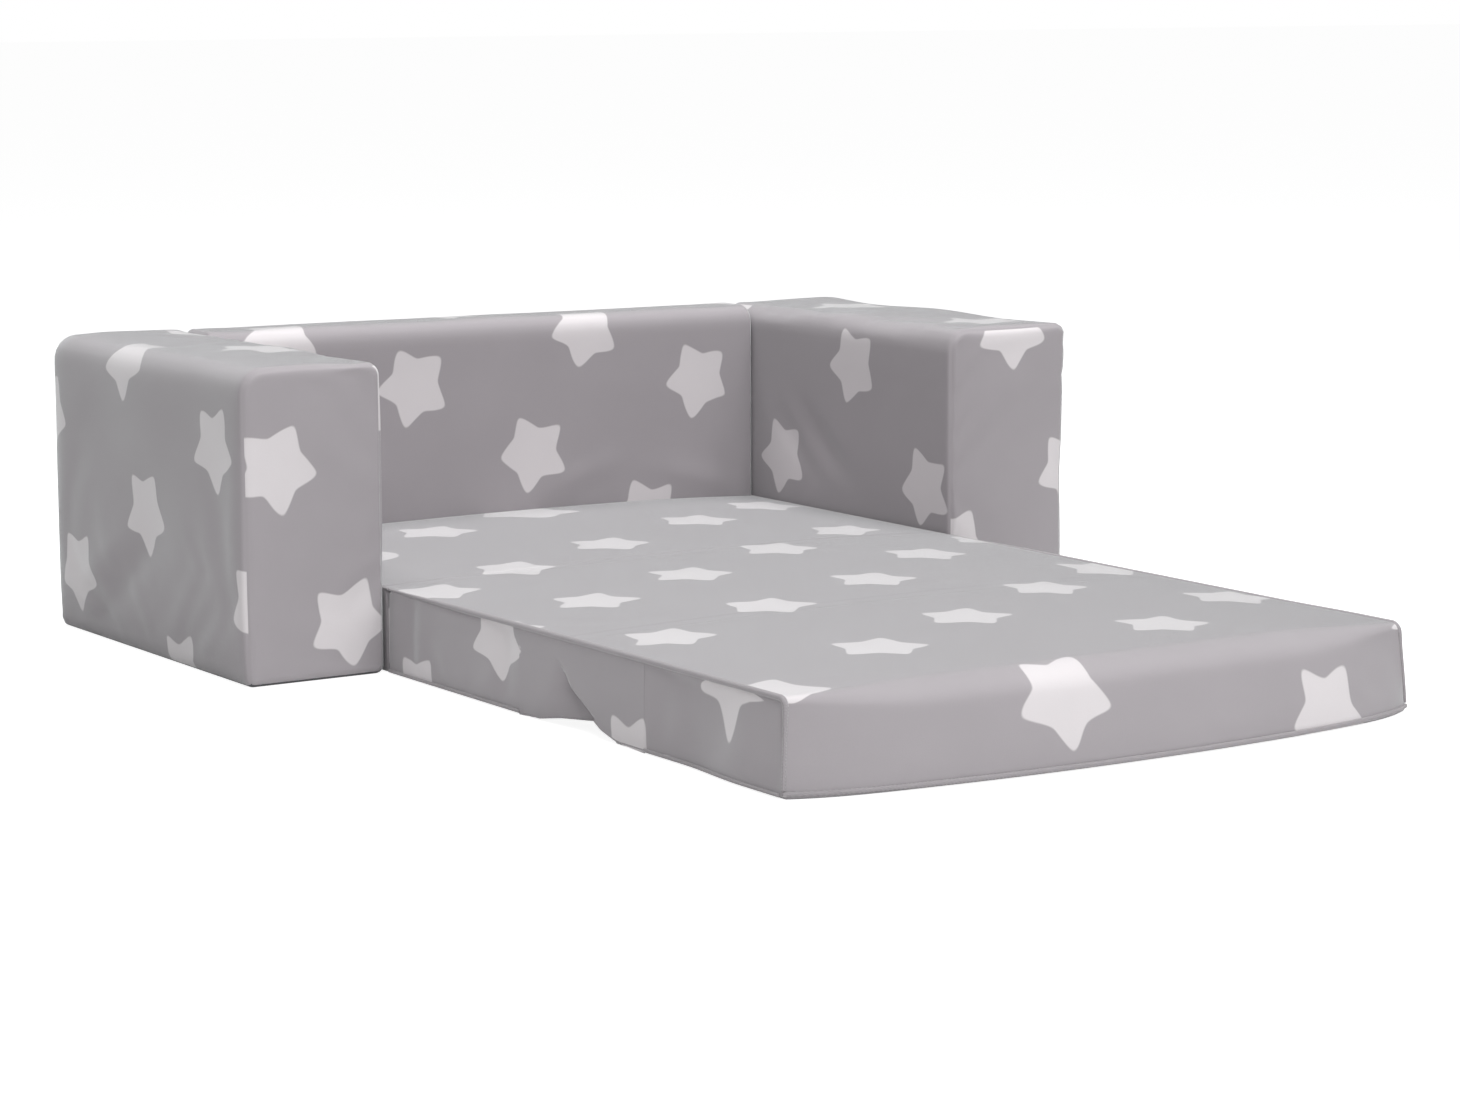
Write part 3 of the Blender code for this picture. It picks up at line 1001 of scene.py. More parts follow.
@dataclass
class Block:
    """A foam block in its cover: an outline drawn out along one axis, with rolled ends.

    The wrap runs round the outline, and an end panel closes each end. Sides of the
    outline are numbered from 0, in the order in which it is walked.
    """

    name: str
    wardrobe: Wardrobe
    outline: Outline
    start: float
    end: float
    roll: float
    place: Callable[[np.ndarray, np.ndarray], np.ndarray]
    lined_sides: Sequence[int] = (3,)
    roll_steps: int = 4
    pitch: float = 0.007
    seam: float = 0.0005

    def build(
        self,
        wrap_cut: Cut,
        wrap_cloth: Callable[[float, np.ndarray, np.ndarray], np.ndarray],
        end_cuts: tuple[Cut, Cut],
        end_cloth: Callable[[np.ndarray], np.ndarray],
    ) -> bpy.types.Object:
        """Makes the covered block.

        Args:
            wrap_cut: Cut of the fabric that runs round the outline.
            wrap_cloth: Flat place for a distance along the axis, distances round the outline
                and the points (a, b) there.
            end_cuts: Cuts of the panels at the start and at the end.
            end_cloth: Flat place of points (a, b) of an end panel.

        Returns:
            The sewn block.
        """
        skin = Skin(self.name)
        sides = self.outline.sides()
        counts = [max(len(sides[k]), len(sides[k + 2])) for k in (0, 1)] * 2
        sides = [
            even_ends(side, count) if len(side) != count else side for side, count in zip(sides, counts)
        ]
        stations = self._stations()
        walked = 0.0
        for number, side in enumerate(sides):
            travel = walked + travelled(side)
            walked = travel[-1]
            rows = [self._row(side, position, inset) for position, inset, _ in stations]
            flat = [wrap_cloth(reach, travel, side) for _, _, reach in stations]
            finish = self.wardrobe.lining if number in self.lined_sides else self.wardrobe.cover
            skin.add(np.array(rows), np.array(flat), finish, wrap_cut)
        for end, cut in zip((0, -1), end_cuts):
            self._add_end(skin, sides, end, cut, end_cloth)
        return skin.sew()

    def _stations(self) -> list[tuple[float, float, float]]:
        """Lays out the rings of the wrap, with the seams at the middle of the rolls.

        Returns:
            Position, inset and cloth reach of each ring, in metres.
        """
        front = []
        for k in range(self.roll_steps + 1):
            share = 0.5 + 0.5 * k / self.roll_steps
            front.append((*self._rolled(share), self.roll - self.roll * (1 - share) * math.pi / 2))
        middle = np.linspace(self.start + self.roll, self.end - self.roll, self._count() + 1)[1:-1]
        ring = [(self.start + depth, inset, self.start + reach) for depth, inset, reach in front]
        ring += [(position, 0.0, position) for position in middle]
        ring += [(self.end - depth, inset, self.end - reach) for depth, inset, reach in reversed(front)]
        return ring

    def _rolled(self, share: float) -> tuple[float, float]:
        """Walks over the roll between an end face and the wrap, the seam drawn in halfway.

        Args:
            share: 0 on the end face and 1 on the wrap.

        Returns:
            Depth behind the end face and inset from the outline, in metres.
        """
        angle = share * math.pi / 2
        drawn = self.seam * math.sqrt(0.5) if share == 0.5 else 0.0
        return self.roll * (1 - math.cos(angle)) + drawn, self.roll * (1 - math.sin(angle)) + drawn

    def _count(self) -> int:
        """Number of rows between the rolls."""
        return max(2, round((self.end - self.start - 2 * self.roll) / self.pitch))

    def _row(self, side: np.ndarray, position: float, inset: float) -> np.ndarray:
        """One side of the outline at a position, drawn in by an inset."""
        flat = side[:, :2] - side[:, 2:] * inset
        return self.place(flat, np.full(len(flat), position))

    def _add_end(
        self,
        skin: Skin,
        sides: Sequence[np.ndarray],
        end: int,
        cut: Cut,
        end_cloth: Callable[[np.ndarray], np.ndarray],
    ) -> None:
        """Closes one end with its panel, from the seam in the roll to the middle.

        Args:
            skin: Piece that gets the panel.
            sides: Sides of the outline.
            end: 0 for the start and -1 for the end.
            cut: How the panel was cut from the print.
            end_cloth: Flat place of points (a, b) of the panel.
        """
        face, inward = (self.start, 1.0) if end == 0 else (self.end, -1.0)
        for side in sides:
            rows, flat = [], []
            for k in range(self.roll_steps + 1):
                share = 0.5 * k / self.roll_steps
                depth, inset = self._rolled(share)
                rows.append(self._row(side, face + inward * depth, inset))
                drawn = self.roll - self.roll * share * math.pi / 2
                flat.append(end_cloth(side[:, :2] - side[:, 2:] * drawn))
            skin.add(np.array(rows), np.array(flat), self.wardrobe.cover, cut)
        cap = fill_cap([side[:, :2] - side[:, 2:] * self.roll for side in sides])
        points = np.stack([self.place(row, np.full(len(row), face)) for row in cap])
        skin.add(points, np.stack([end_cloth(row) for row in cap]), self.wardrobe.cover, cut)


def tube(
    name: str, path: Sequence[Point3], radius: float, finish: bpy.types.Material,
    widths: Sequence[float] | None = None,
) -> bpy.types.Object:
    """Makes a smooth rod of mesh along a path.

    Args:
        name: Name of the piece.
        path: Points in metres.
        radius: Radius in metres.
        finish: Material.
        widths: Share of the radius at each point, where it changes.

    Returns:
        The object.
    """
    curve = bpy.data.curves.new(name, "CURVE")
    curve.dimensions = "3D"
    curve.bevel_depth = radius
    curve.bevel_resolution = 3
    curve.use_fill_caps = True
    spline = curve.splines.new("POLY")
    spline.points.add(len(path) - 1)
    for point, place, width in zip(spline.points, path, widths or [1.0] * len(path)):
        point.co = (*place, 1.0)
        point.radius = width
    holder = bpy.data.objects.new(name + "_path", curve)
    mesh = bpy.data.meshes.new_from_object(holder)
    bpy.data.objects.remove(holder)
    bpy.data.curves.remove(curve)
    mesh.name = name
    mesh.materials.clear()
    return link(mesh, finish)


def link(mesh: bpy.types.Mesh, finish: bpy.types.Material) -> bpy.types.Object:
    """Puts a mesh into the scene as a smooth shaded piece.

    Args:
        mesh: Mesh, named as the piece.
        finish: Its one material.

    Returns:
        The piece.
    """
    mesh.materials.append(finish)
    for part in mesh.polygons:
        part.use_smooth = True
    return show(mesh.name, mesh)


def bound_seam(
    name: str, path: Sequence[Point3], radius: float, wardrobe: Wardrobe,
    widths: Sequence[float] | None = None,
) -> bpy.types.Object:
    """Makes a bound seam along a path.

    Args:
        name: Name of the piece.
        path: Points in metres.
        radius: Radius in metres.
        wardrobe: Finishes.
        widths: Share of the radius at each point, where it changes.

    Returns:
        The piece.
    """
    seam = tube(name, path, radius, wardrobe.welt, widths)
    return seam


@dataclass(frozen=True)
class Bead:
    """A small rounded rod, the form of a zip tooth or of a stitch, round the origin."""

    size: Point3
    axis: int
    segments: int = 8
    stations: Sequence[Point2] = (
        (-0.5, 0.3), (-0.45, 0.72), (-0.32, 1.0), (0.32, 1.0), (0.45, 0.72), (0.5, 0.3),
    )

    def rings(self) -> np.ndarray:
        """Draws the rod station by station.

        Returns:
            Rings of points in metres, stations by segments by three.
        """
        turns = np.linspace(0, 2 * math.pi, self.segments, endpoint=False)
        across, up = np.cos(turns), np.sin(turns)
        points = np.array([
            np.stack([np.full(self.segments, place), share / 2 * across, share / 2 * up], axis=-1)
            for place, share in self.stations
        ])
        return np.roll(points, self.axis, axis=-1) * self.size

    def scatter(self, name: str, places: np.ndarray, finish: bpy.types.Material) -> bpy.types.Object:
        """Sets one rod at each place, all in one mesh.

        Args:
            name: Name of the piece.
            places: Middle of each rod in metres, one per row.
            finish: Material.

        Returns:
            The piece.
        """
        rings = self.rings()
        count, turns = len(self.stations), np.arange(self.segments)
        after = (turns + 1) % self.segments
        faces = []
        for row in range(count - 1):
            low, high = row * self.segments, (row + 1) * self.segments
            faces += np.stack([low + turns, low + after, high + after, high + turns], axis=-1).tolist()
        faces += [turns[::-1].tolist(), (turns + (count - 1) * self.segments).tolist()]
        base = rings.reshape(-1, 3)
        points = (places[:, None] + base[None]).reshape(-1, 3)
        starts = range(0, len(points), len(base))
        copies = [[index + start for index in face] for start in starts for face in faces]
        mesh = bpy.data.meshes.new(name)
        mesh.from_pydata(points.tolist(), [], copies)
        return link(mesh, finish)


def castings(
    name: str,
    prisms: Sequence[tuple[Sequence[Point2], float, float]],
    edge: float,
    finish: bpy.types.Material,
) -> bpy.types.Object:
    """Makes one cast piece from prisms with rounded edges.

    Args:
        name: Name of the piece.
        prisms: Outline in x and z, and the low and high y of each prism, in metres.
        edge: Radius of the edges.
        finish: Material.

    Returns:
        The piece.
    """
    whole = bmesh.new()
    for outline, low, high in prisms:
        prism = bmesh.new()
        under, over = ([prism.verts.new((x, y, z)) for x, z in outline] for y in (low, high))
        prism.faces.new(under)
        prism.faces.new(over[::-1])
        for k in range(len(outline)):
            prism.faces.new((under[k - 1], over[k - 1], over[k], under[k]))
        bmesh.ops.recalc_face_normals(prism, faces=prism.faces)
        bmesh.ops.bevel(
            prism, geom=prism.edges[:], offset=edge, segments=3, profile=0.5, affect="EDGES"
        )
        part = bpy.data.meshes.new(name)
        prism.to_mesh(part)
        prism.free()
        whole.from_mesh(part)
        bpy.data.meshes.remove(part)
    mesh = bpy.data.meshes.new(name)
    whole.to_mesh(mesh)
    whole.free()
    return link(mesh, finish)


# ---- sub-assemblies


@dataclass(frozen=True)
class Settling:
    """How the used sofa stands: its top edge, seen from the front, isn't quite level."""

    height: float = 0.239
    places: Sequence[float] = (-0.39, -0.34, -0.27, 0.27, 0.30, 0.39)
    rises: Sequence[float] = (0.0022, 0.0040, 0.0034, -0.0005, -0.0022, -0.0022)

    def settled(self, points: np.ndarray) -> np.ndarray:
        """Lifts or lowers points, the more the higher they are.

        Args:
            points: Points in metres, with the triple as last axis.

        Returns:
            The moved points.
        """
        shaped = points.copy()
        share = np.clip(points[..., 2] / self.height, 0, 1)
        shaped[..., 2] += np.interp(points[..., 0], self.places, self.rises) * share * share
        return shaped


@dataclass
class Arm:
    """One foam arm: a wrap over its outer side, top and inner side, and a front panel.

    The cover is held over a strip along the floor, the rear and the seat, whose widths
    are the fields that start with "held".
    """

    side: Side
    wardrobe: Wardrobe
    width: float = 0.1185
    front: float = 0.1051
    rear: float = 0.4589
    height: float = 0.239
    half_width: float = 0.39
    left_top_radius: float = 0.018
    right_top_radius: float = 0.010
    foot_radius: float = 0.007
    roll: float = 0.0065
    bulge: float = 0.0008
    spread_foot: float = 0.0018
    spread_top: float = 0.0046
    held_foot: float = 0.03
    held_rear: float = 0.02
    held_seat: float = 0.04
    seat_top: float = 0.075
    settling: Settling = Settling()

    @property
    def outer(self) -> float:
        """Place across the sofa of the outer side."""
        return self.side.value * self.half_width

    @property
    def inner(self) -> float:
        """Place across the sofa of the inner side."""
        return self.outer - self.side.value * self.width

    def outline(self) -> Outline:
        """Draws the front view of the arm.

        Returns:
            The outline, walked from the bottom left upwards.
        """
        left, right = sorted((self.outer, self.inner))
        corners = [(left, 0.0), (left, self.height), (right, self.height), (right, 0.0)]
        radii = (self.foot_radius, self.left_top_radius, self.right_top_radius, self.foot_radius)
        return Outline(corners, radii)

    def build(self) -> bpy.types.Object:
        """Makes the covered arm and places it on the sofa's body.

        Returns:
            The arm.
        """
        label = self.side.label
        left = self.side is Side.LEFT
        block = Block(
            f"{label}_arm", self.wardrobe, self.outline(), self.front, self.rear, self.roll,
            lambda flat, along: self._settled(np.stack([flat[:, 0], along, flat[:, 1]], axis=-1)),
        )
        foot = self.foot_radius * (1 - math.pi / 4)

        def wrap_cloth(reach: float, travel: np.ndarray, _: np.ndarray) -> np.ndarray:
            """Flat place on the wrap, which climbs from the foot on the left."""
            climb = travel + foot
            return np.stack([np.full(len(climb), self.front - reach), climb], axis=-1)

        wrap_cut, front_cut = (OUTER_WRAP, LEFT_FRONT) if left else (INNER_WRAP, RIGHT_FRONT)
        arm = block.build(wrap_cut, wrap_cloth, (front_cut, PLAIN_LAY), lambda flat: flat)
        self._stuff(arm)
        parts = ("foam", "wrap_cover", "front_panel", "front_welt", "base_panel")
        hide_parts(*(f"{label}_arm_{part}" for part in parts))
        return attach(arm, "sofa_body")

    def _settled(self, points: np.ndarray) -> np.ndarray:
        """Gives the arm its used shape; the right one has spread outwards, most of all high up.

        Args:
            points: Points in metres, with the triple as last axis.

        Returns:
            The moved points.
        """
        shaped = self.settling.settled(points)
        if self.side is Side.RIGHT:
            across = np.clip((points[..., 0] - self.inner) / self.width, 0, 1)
            high = smooth(np.clip((points[..., 2] - 0.10) / 0.05, 0, 1))
            spread = self.spread_foot + (self.spread_top - self.spread_foot) * high
            front = np.clip((0.30 - points[..., 1]) / 0.15, 0.35, 1)
            shaped[..., 0] += spread * across * front
        return shaped

    def _stuff(self, arm: bpy.types.Object) -> None:
        """Swells the cover a little and lays its soft folds.

        Args:
            arm: The sewn arm.
        """
        Filling(inset=0.0).fill(arm, self._open_faces)
        outer, inner = self.outer, self.inner
        creases = [
            Crease((outer, 0.26, 0.095), (outer, 0.39, 0.018), 0.015, -0.0032),
            Crease((outer, 0.30, 0.105), (outer, 0.42, 0.035), 0.014, 0.0016),
            Crease((outer, 0.33, 0.05), (outer, 0.42, 0.012), 0.009, 0.0016),
            Crease((outer, 0.13, 0.04), (outer, 0.20, 0.012), 0.012, 0.0010),
            Crease((outer, 0.12, 0.20), (outer, 0.125, 0.08), 0.010, 0.0008),
        ]
        if self.side is Side.RIGHT:
            x = outer + 0.004
            creases += [
                Crease((x, 0.10, height), (x, 0.16, height - 0.004), 0.005, -0.0022)
                for height in (0.192, 0.224)
            ]
        seed = 3.1 + self.side.value
        Stuffing(swell=0.0004, waves=0.0022, seed=seed, creases=creases).press(arm, self._open_faces)
        drawn = [
            Crease((inner, 0.37, 0.150), (inner, 0.29, 0.075), 0.010, -0.0024),
            Crease((inner, 0.33, 0.155), (inner, 0.245, 0.080), 0.013, -0.0030),
        ]
        Stuffing(swell=self.bulge, waves=0.0, creases=drawn).press(arm, self._above_seat)

    def _open_faces(self, place: Vector) -> float:
        """Frees the cover on the open faces and holds it at the foot and on the inner side.

        Args:
            place: Place in metres.

        Returns:
            0 where the cover is held fast and 1 where it is free.
        """
        off_floor = bounded(place.z / self.held_foot)
        off_rear = bounded((self.rear - place.y) / self.held_rear)
        on_inner = (place.x - self.inner) * self.side.value < 0.004
        return off_floor * (0.25 + 0.75 * off_rear) * (0.0 if on_inner else 1.0)

    def _above_seat(self, place: Vector) -> float:
        """Frees the middle of the inner side, where it stands clear above the seat.

        Args:
            place: Place in metres.

        Returns:
            0 where the cover is held fast and 1 where it is free.
        """
        if abs(place.x - self.inner) > 0.002:
            return 0.0
        off_seat = bounded((place.z - self.seat_top) / self.held_seat)
        off_top = bounded((self.height - place.z) / self.held_seat)
        off_back = bounded((0.40 - place.y) / 0.10)
        return off_seat * off_top * off_back


@dataclass
class Backrest:
    """Thin foam back between the arms, its front and top in one run of fabric."""

    wardrobe: Wardrobe
    half_width: float = 0.2712
    front: float = 0.4061
    rear: float = 0.4589
    height: float = 0.239
    front_radius: float = 0.016
    rear_radius: float = 0.010
    foot_radius: float = 0.006
    roll: float = 0.005
    held_edge: float = 0.03
    held_rear: float = 0.02
    settling: Settling = Settling()

    def build(self) -> bpy.types.Object:
        """Makes the covered back and places it on the sofa's body.

        Returns:
            The back.
        """
        front, rear, height, foot_radius = self.front, self.rear, self.height, self.foot_radius
        corners = [(front, 0.0), (front, height), (rear, height), (rear, 0.0)]
        outline = Outline(corners, (foot_radius, self.front_radius, self.rear_radius, foot_radius))
        block = Block(
            "backrest", self.wardrobe, outline, -self.half_width, self.half_width, self.roll,
            lambda flat, along: self.settling.settled(np.stack([along, flat[:, 0], flat[:, 1]], axis=-1)),
        )
        foot = foot_radius * (1 - math.pi / 4)
        back = block.build(
            BACK_FRONT,
            lambda reach, travel, _: np.stack([np.full(len(travel), reach), travel + foot], axis=-1),
            (PLAIN_LAY, PLAIN_LAY), lambda flat: flat,
        )
        creases = [
            Crease((0.16, front, 0.10), (0.25, front, 0.075), 0.010, 0.0016),
            Crease((0.05, front, 0.085), (0.13, front, 0.11), 0.010, 0.0012),
            Crease((-0.20, front, 0.16), (-0.10, front, 0.10), 0.012, 0.0010),
        ]
        Filling(cap=0.0008, inset=0.0004).fill(back, self._held)
        Stuffing(swell=0.0, waves=0.0013, seed=8.4, creases=creases).press(back, self._held)
        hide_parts("backrest_foam", "backrest_cover", "backrest_base_panel")
        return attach(back, "sofa_body")

    def _held(self, place: Vector) -> float:
        """Frees the cover over the front and top and holds it at the ends, the foot and the rear.

        Args:
            place: Place in metres.

        Returns:
            0 where the cover is held fast and 1 where it is free.
        """
        off_end = bounded((self.half_width - abs(place.x)) / self.held_edge)
        off_floor = bounded(place.z / self.held_edge)
        off_rear = bounded((self.rear - place.y) / self.held_rear)
        return off_end * off_floor * off_rear


@dataclass(frozen=True)
class PadShape:
    """Sizes that the three pads share, and the curves of their top and front edge.

    The side webs under the front fold reach from web_rear to web_front, in millimetres
    forwards from the fold.
    """

    half_width: float = 0.2695
    thickness: float = 0.067
    crown: float = 0.004
    rear_fold: float = 0.1051
    front_fold: float = -0.1719
    front_edge: float = -0.4429
    bow: float = 0.022
    bevel: float = 0.0577
    edge_radius: float = 0.018
    corner_radius: float = 0.006
    roll: float = 0.004
    fold_radius: float = 0.006
    web_rear: float = -74.0
    web_front: float = 98.0
    right_drop: float = 0.0022
    front_flare: float = 0.0232
    left_corner_flare: float = 0.0065
    right_corner_flare: float = 0.0056
    side_flare: float = 0.0010
    pinched: float = 0.990

    @property
    def full_height(self) -> float:
        """Height of the pad along its middle."""
        return self.thickness + self.crown

    def top(self, x: np.ndarray | float) -> np.ndarray | float:
        """Height of the top at a place across the pad."""
        right = np.clip((x - 0.12) / (self.half_width - 0.12), 0, 1)
        crowned = self.thickness + self.crown * (1 - (x / self.half_width) ** 2)
        return crowned - self.right_drop * right * right

    def rolled_top(self, x: np.ndarray) -> np.ndarray:
        """Height of the top with its side edges rolled down."""
        past = np.clip(np.abs(x) - (self.half_width - self.roll), 0, self.roll)
        return self.top(x) - self.roll + np.sqrt(self.roll**2 - past**2)

    def crowned(self, points: np.ndarray) -> np.ndarray:
        """Lowers points drawn at full height to the crown of the top.

        Args:
            points: Points in metres, with the triple as last axis.

        Returns:
            The moved points.
        """
        shaped = points.copy()
        shaped[..., 2] *= self.top(points[..., 0]) / self.full_height
        return shaped

    def tightened(self, points: np.ndarray) -> np.ndarray:
        """Tightens the rounding of the front top edge towards the two front corners.

        Args:
            points: Points in metres, with the triple as last axis.

        Returns:
            The moved points.
        """
        shaped = points.copy()
        to_end = smooth(np.clip((self.half_width - np.abs(points[..., 0])) / 0.11, 0, 1))
        share = self.corner_radius / self.edge_radius
        share = share + (1 - share) * to_end
        back, below = points[..., 1] - self.front_edge, self.full_height - points[..., 2]
        for distance, axis, sign in ((back, 1, 1), (below, 2, -1)):
            kept = share + (1 - share) * smooth(np.clip((distance - self.edge_radius) / 0.03, 0, 1))
            shaped[..., axis] += sign * distance * (kept - 1)
        return shaped

    def bow_at(self, x: np.ndarray, y: np.ndarray) -> np.ndarray:
        """How far a point drawn at (x, y) is carried forwards by the bow of the front edge."""
        reach = np.clip((self.front_fold - y) / (self.front_fold - self.front_edge), 0, 1)
        return self.bow * (1 - (x / self.half_width) ** 2) * reach

    def bowed(self, points: np.ndarray) -> np.ndarray:
        """Draws the front edge out towards the middle of its length.

        Args:
            points: Points in metres, with the triple as last axis.

        Returns:
            The moved points.
        """
        shaped = points.copy()
        shaped[..., 1] -= self.bow_at(points[..., 0], points[..., 1])
        return shaped

    def pinch(self, piece: bpy.types.Object) -> None:
        """Gives a piece its own copy of its mesh."""
        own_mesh(piece)

    def spread(self, points: np.ndarray) -> np.ndarray:
        """Spreads the foot of the pad, a little at the sides and more along the front edge.

        Args:
            points: Points in metres, with the triple as last axis.

        Returns:
            The moved points.
        """
        x, y, z = points[..., 0], points[..., 1], points[..., 2]
        share, low = x / self.half_width, 1 - np.clip(z / self.full_height, 0, 1) ** 1.25
        near = smooth(np.clip((self.front_edge + 0.09 - y) / 0.09, 0, 1))
        reach = np.clip(1 - (np.abs(x) / 0.281) ** 8, 0, 1) * (1 + 0.16 * share)
        corner = smooth(np.clip((-0.32 - y) / 0.08, 0, 1))
        under_edge = np.clip((self.thickness - z) / 0.009, 0, 1)
        full = np.where(x > 0, (0.65 + 0.35 * low) * np.sqrt(under_edge * (2 - under_edge)), low)
        outer = np.clip((np.abs(share) - 0.8) / 0.2, 0, 1)
        corner_flare = np.where(x > 0, self.right_corner_flare, self.left_corner_flare)
        side = self.side_flare * low * (1 - corner) + corner_flare * full * corner
        shaped = points.copy()
        shaped[..., 0] += np.sign(x) * side * outer
        shaped[..., 1] -= self.front_flare * reach * low * near
        return shaped


@dataclass
class Pad:
    """One foam pad in its cover, printed all round, with a gusset at each side."""

    name: str
    wardrobe: Wardrobe
    body: str
    corners: Sequence[Point2]
    radii: Sequence[float]
    shape: PadShape
    bowed: bool = False

    def build(self) -> bpy.types.Object:
        """Makes the covered pad and places it on its body.

        Returns:
            The pad.
        """
        shape = self.shape
        block = Block(
            self.name, self.wardrobe, Outline(self.corners, self.radii), -shape.half_width,
            shape.half_width, shape.roll, self._placed, lined_sides=(),
        )
        pad = block.build(
            PAD_TOP, self._top_cloth, (PAD_SIDE, PAD_SIDE),
            lambda flat: np.stack([shape.rear_fold - flat[:, 0], flat[:, 1]], axis=-1),
        )
        Filling(cap=0.0016, inset=0.0006).fill(pad, self._held)
        Stuffing(swell=0.0, waves=0.0012, seed=len(self.name) * 1.3).press(pad, self._held)
        parts = ("foam", "top_cover", "under_cover", "left_gusset", "right_gusset")
        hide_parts(*(f"{self.name}_{part}" for part in parts))
        if self.body != "sofa_body":
            shape.pinch(pad)
        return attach(pad, self.body)

    def _placed(self, flat: np.ndarray, along: np.ndarray) -> np.ndarray:
        """Puts points of the outline into the sofa's frame.

        Args:
            flat: Points (a, b) of the outline.
            along: Their places across the sofa.

        Returns:
            Points in metres.
        """
        shape, points = self.shape, np.stack([along, flat[:, 0], flat[:, 1]], axis=-1)
        if self.bowed:
            return shape.spread(shape.bowed(shape.crowned(shape.tightened(points))))
        points = shape.crowned(points)
        return points if self.body == "sofa_body" else shape.spread(points)

    def _top_cloth(self, reach: float, travel: np.ndarray, side: np.ndarray) -> np.ndarray:
        """Lays the top fabric flat; its run goes on over the front edge.

        Args:
            reach: Distance along the pad's width.
            travel: Distances round the outline.
            side: The points (a, b) there.

        Returns:
            Flat places in metres.
        """
        start = self.corners[1][0] - self.shape.rear_fold
        first = Outline(self.corners, self.radii).corner_travel(1)
        run = start - (travel - first)
        if self.bowed:
            run = run - self.shape.bow_at(np.array(reach), side[:, 0])
        return np.stack([np.full(len(travel), reach), run], axis=-1)

    def _held(self, place: Vector) -> float:
        """Frees the gussets and the front face and holds the cover near the folds and the floor.

        Args:
            place: Place in metres.

        Returns:
            0 where the cover is held fast and 1 where it is free.
        """
        shape = self.shape
        off_floor = bounded(place.z / 0.02)
        near_fold = min(abs(place.y - shape.rear_fold), abs(place.y - shape.front_fold))
        off_fold = bounded((near_fold - 0.008) / 0.03)
        ahead = (shape.front_fold - place.y) / MM
        off_web = bounded(max(shape.web_rear - ahead, ahead - shape.web_front) / 20)
        on_side = bounded((abs(place.x) - shape.half_width + 0.012) / 0.012)
        under_top = bounded((shape.top(place.x) - place.z) / 0.01)
        return off_floor * off_fold * (0.1 + 0.9 * under_top) * (1 - on_side * (1 - off_web))


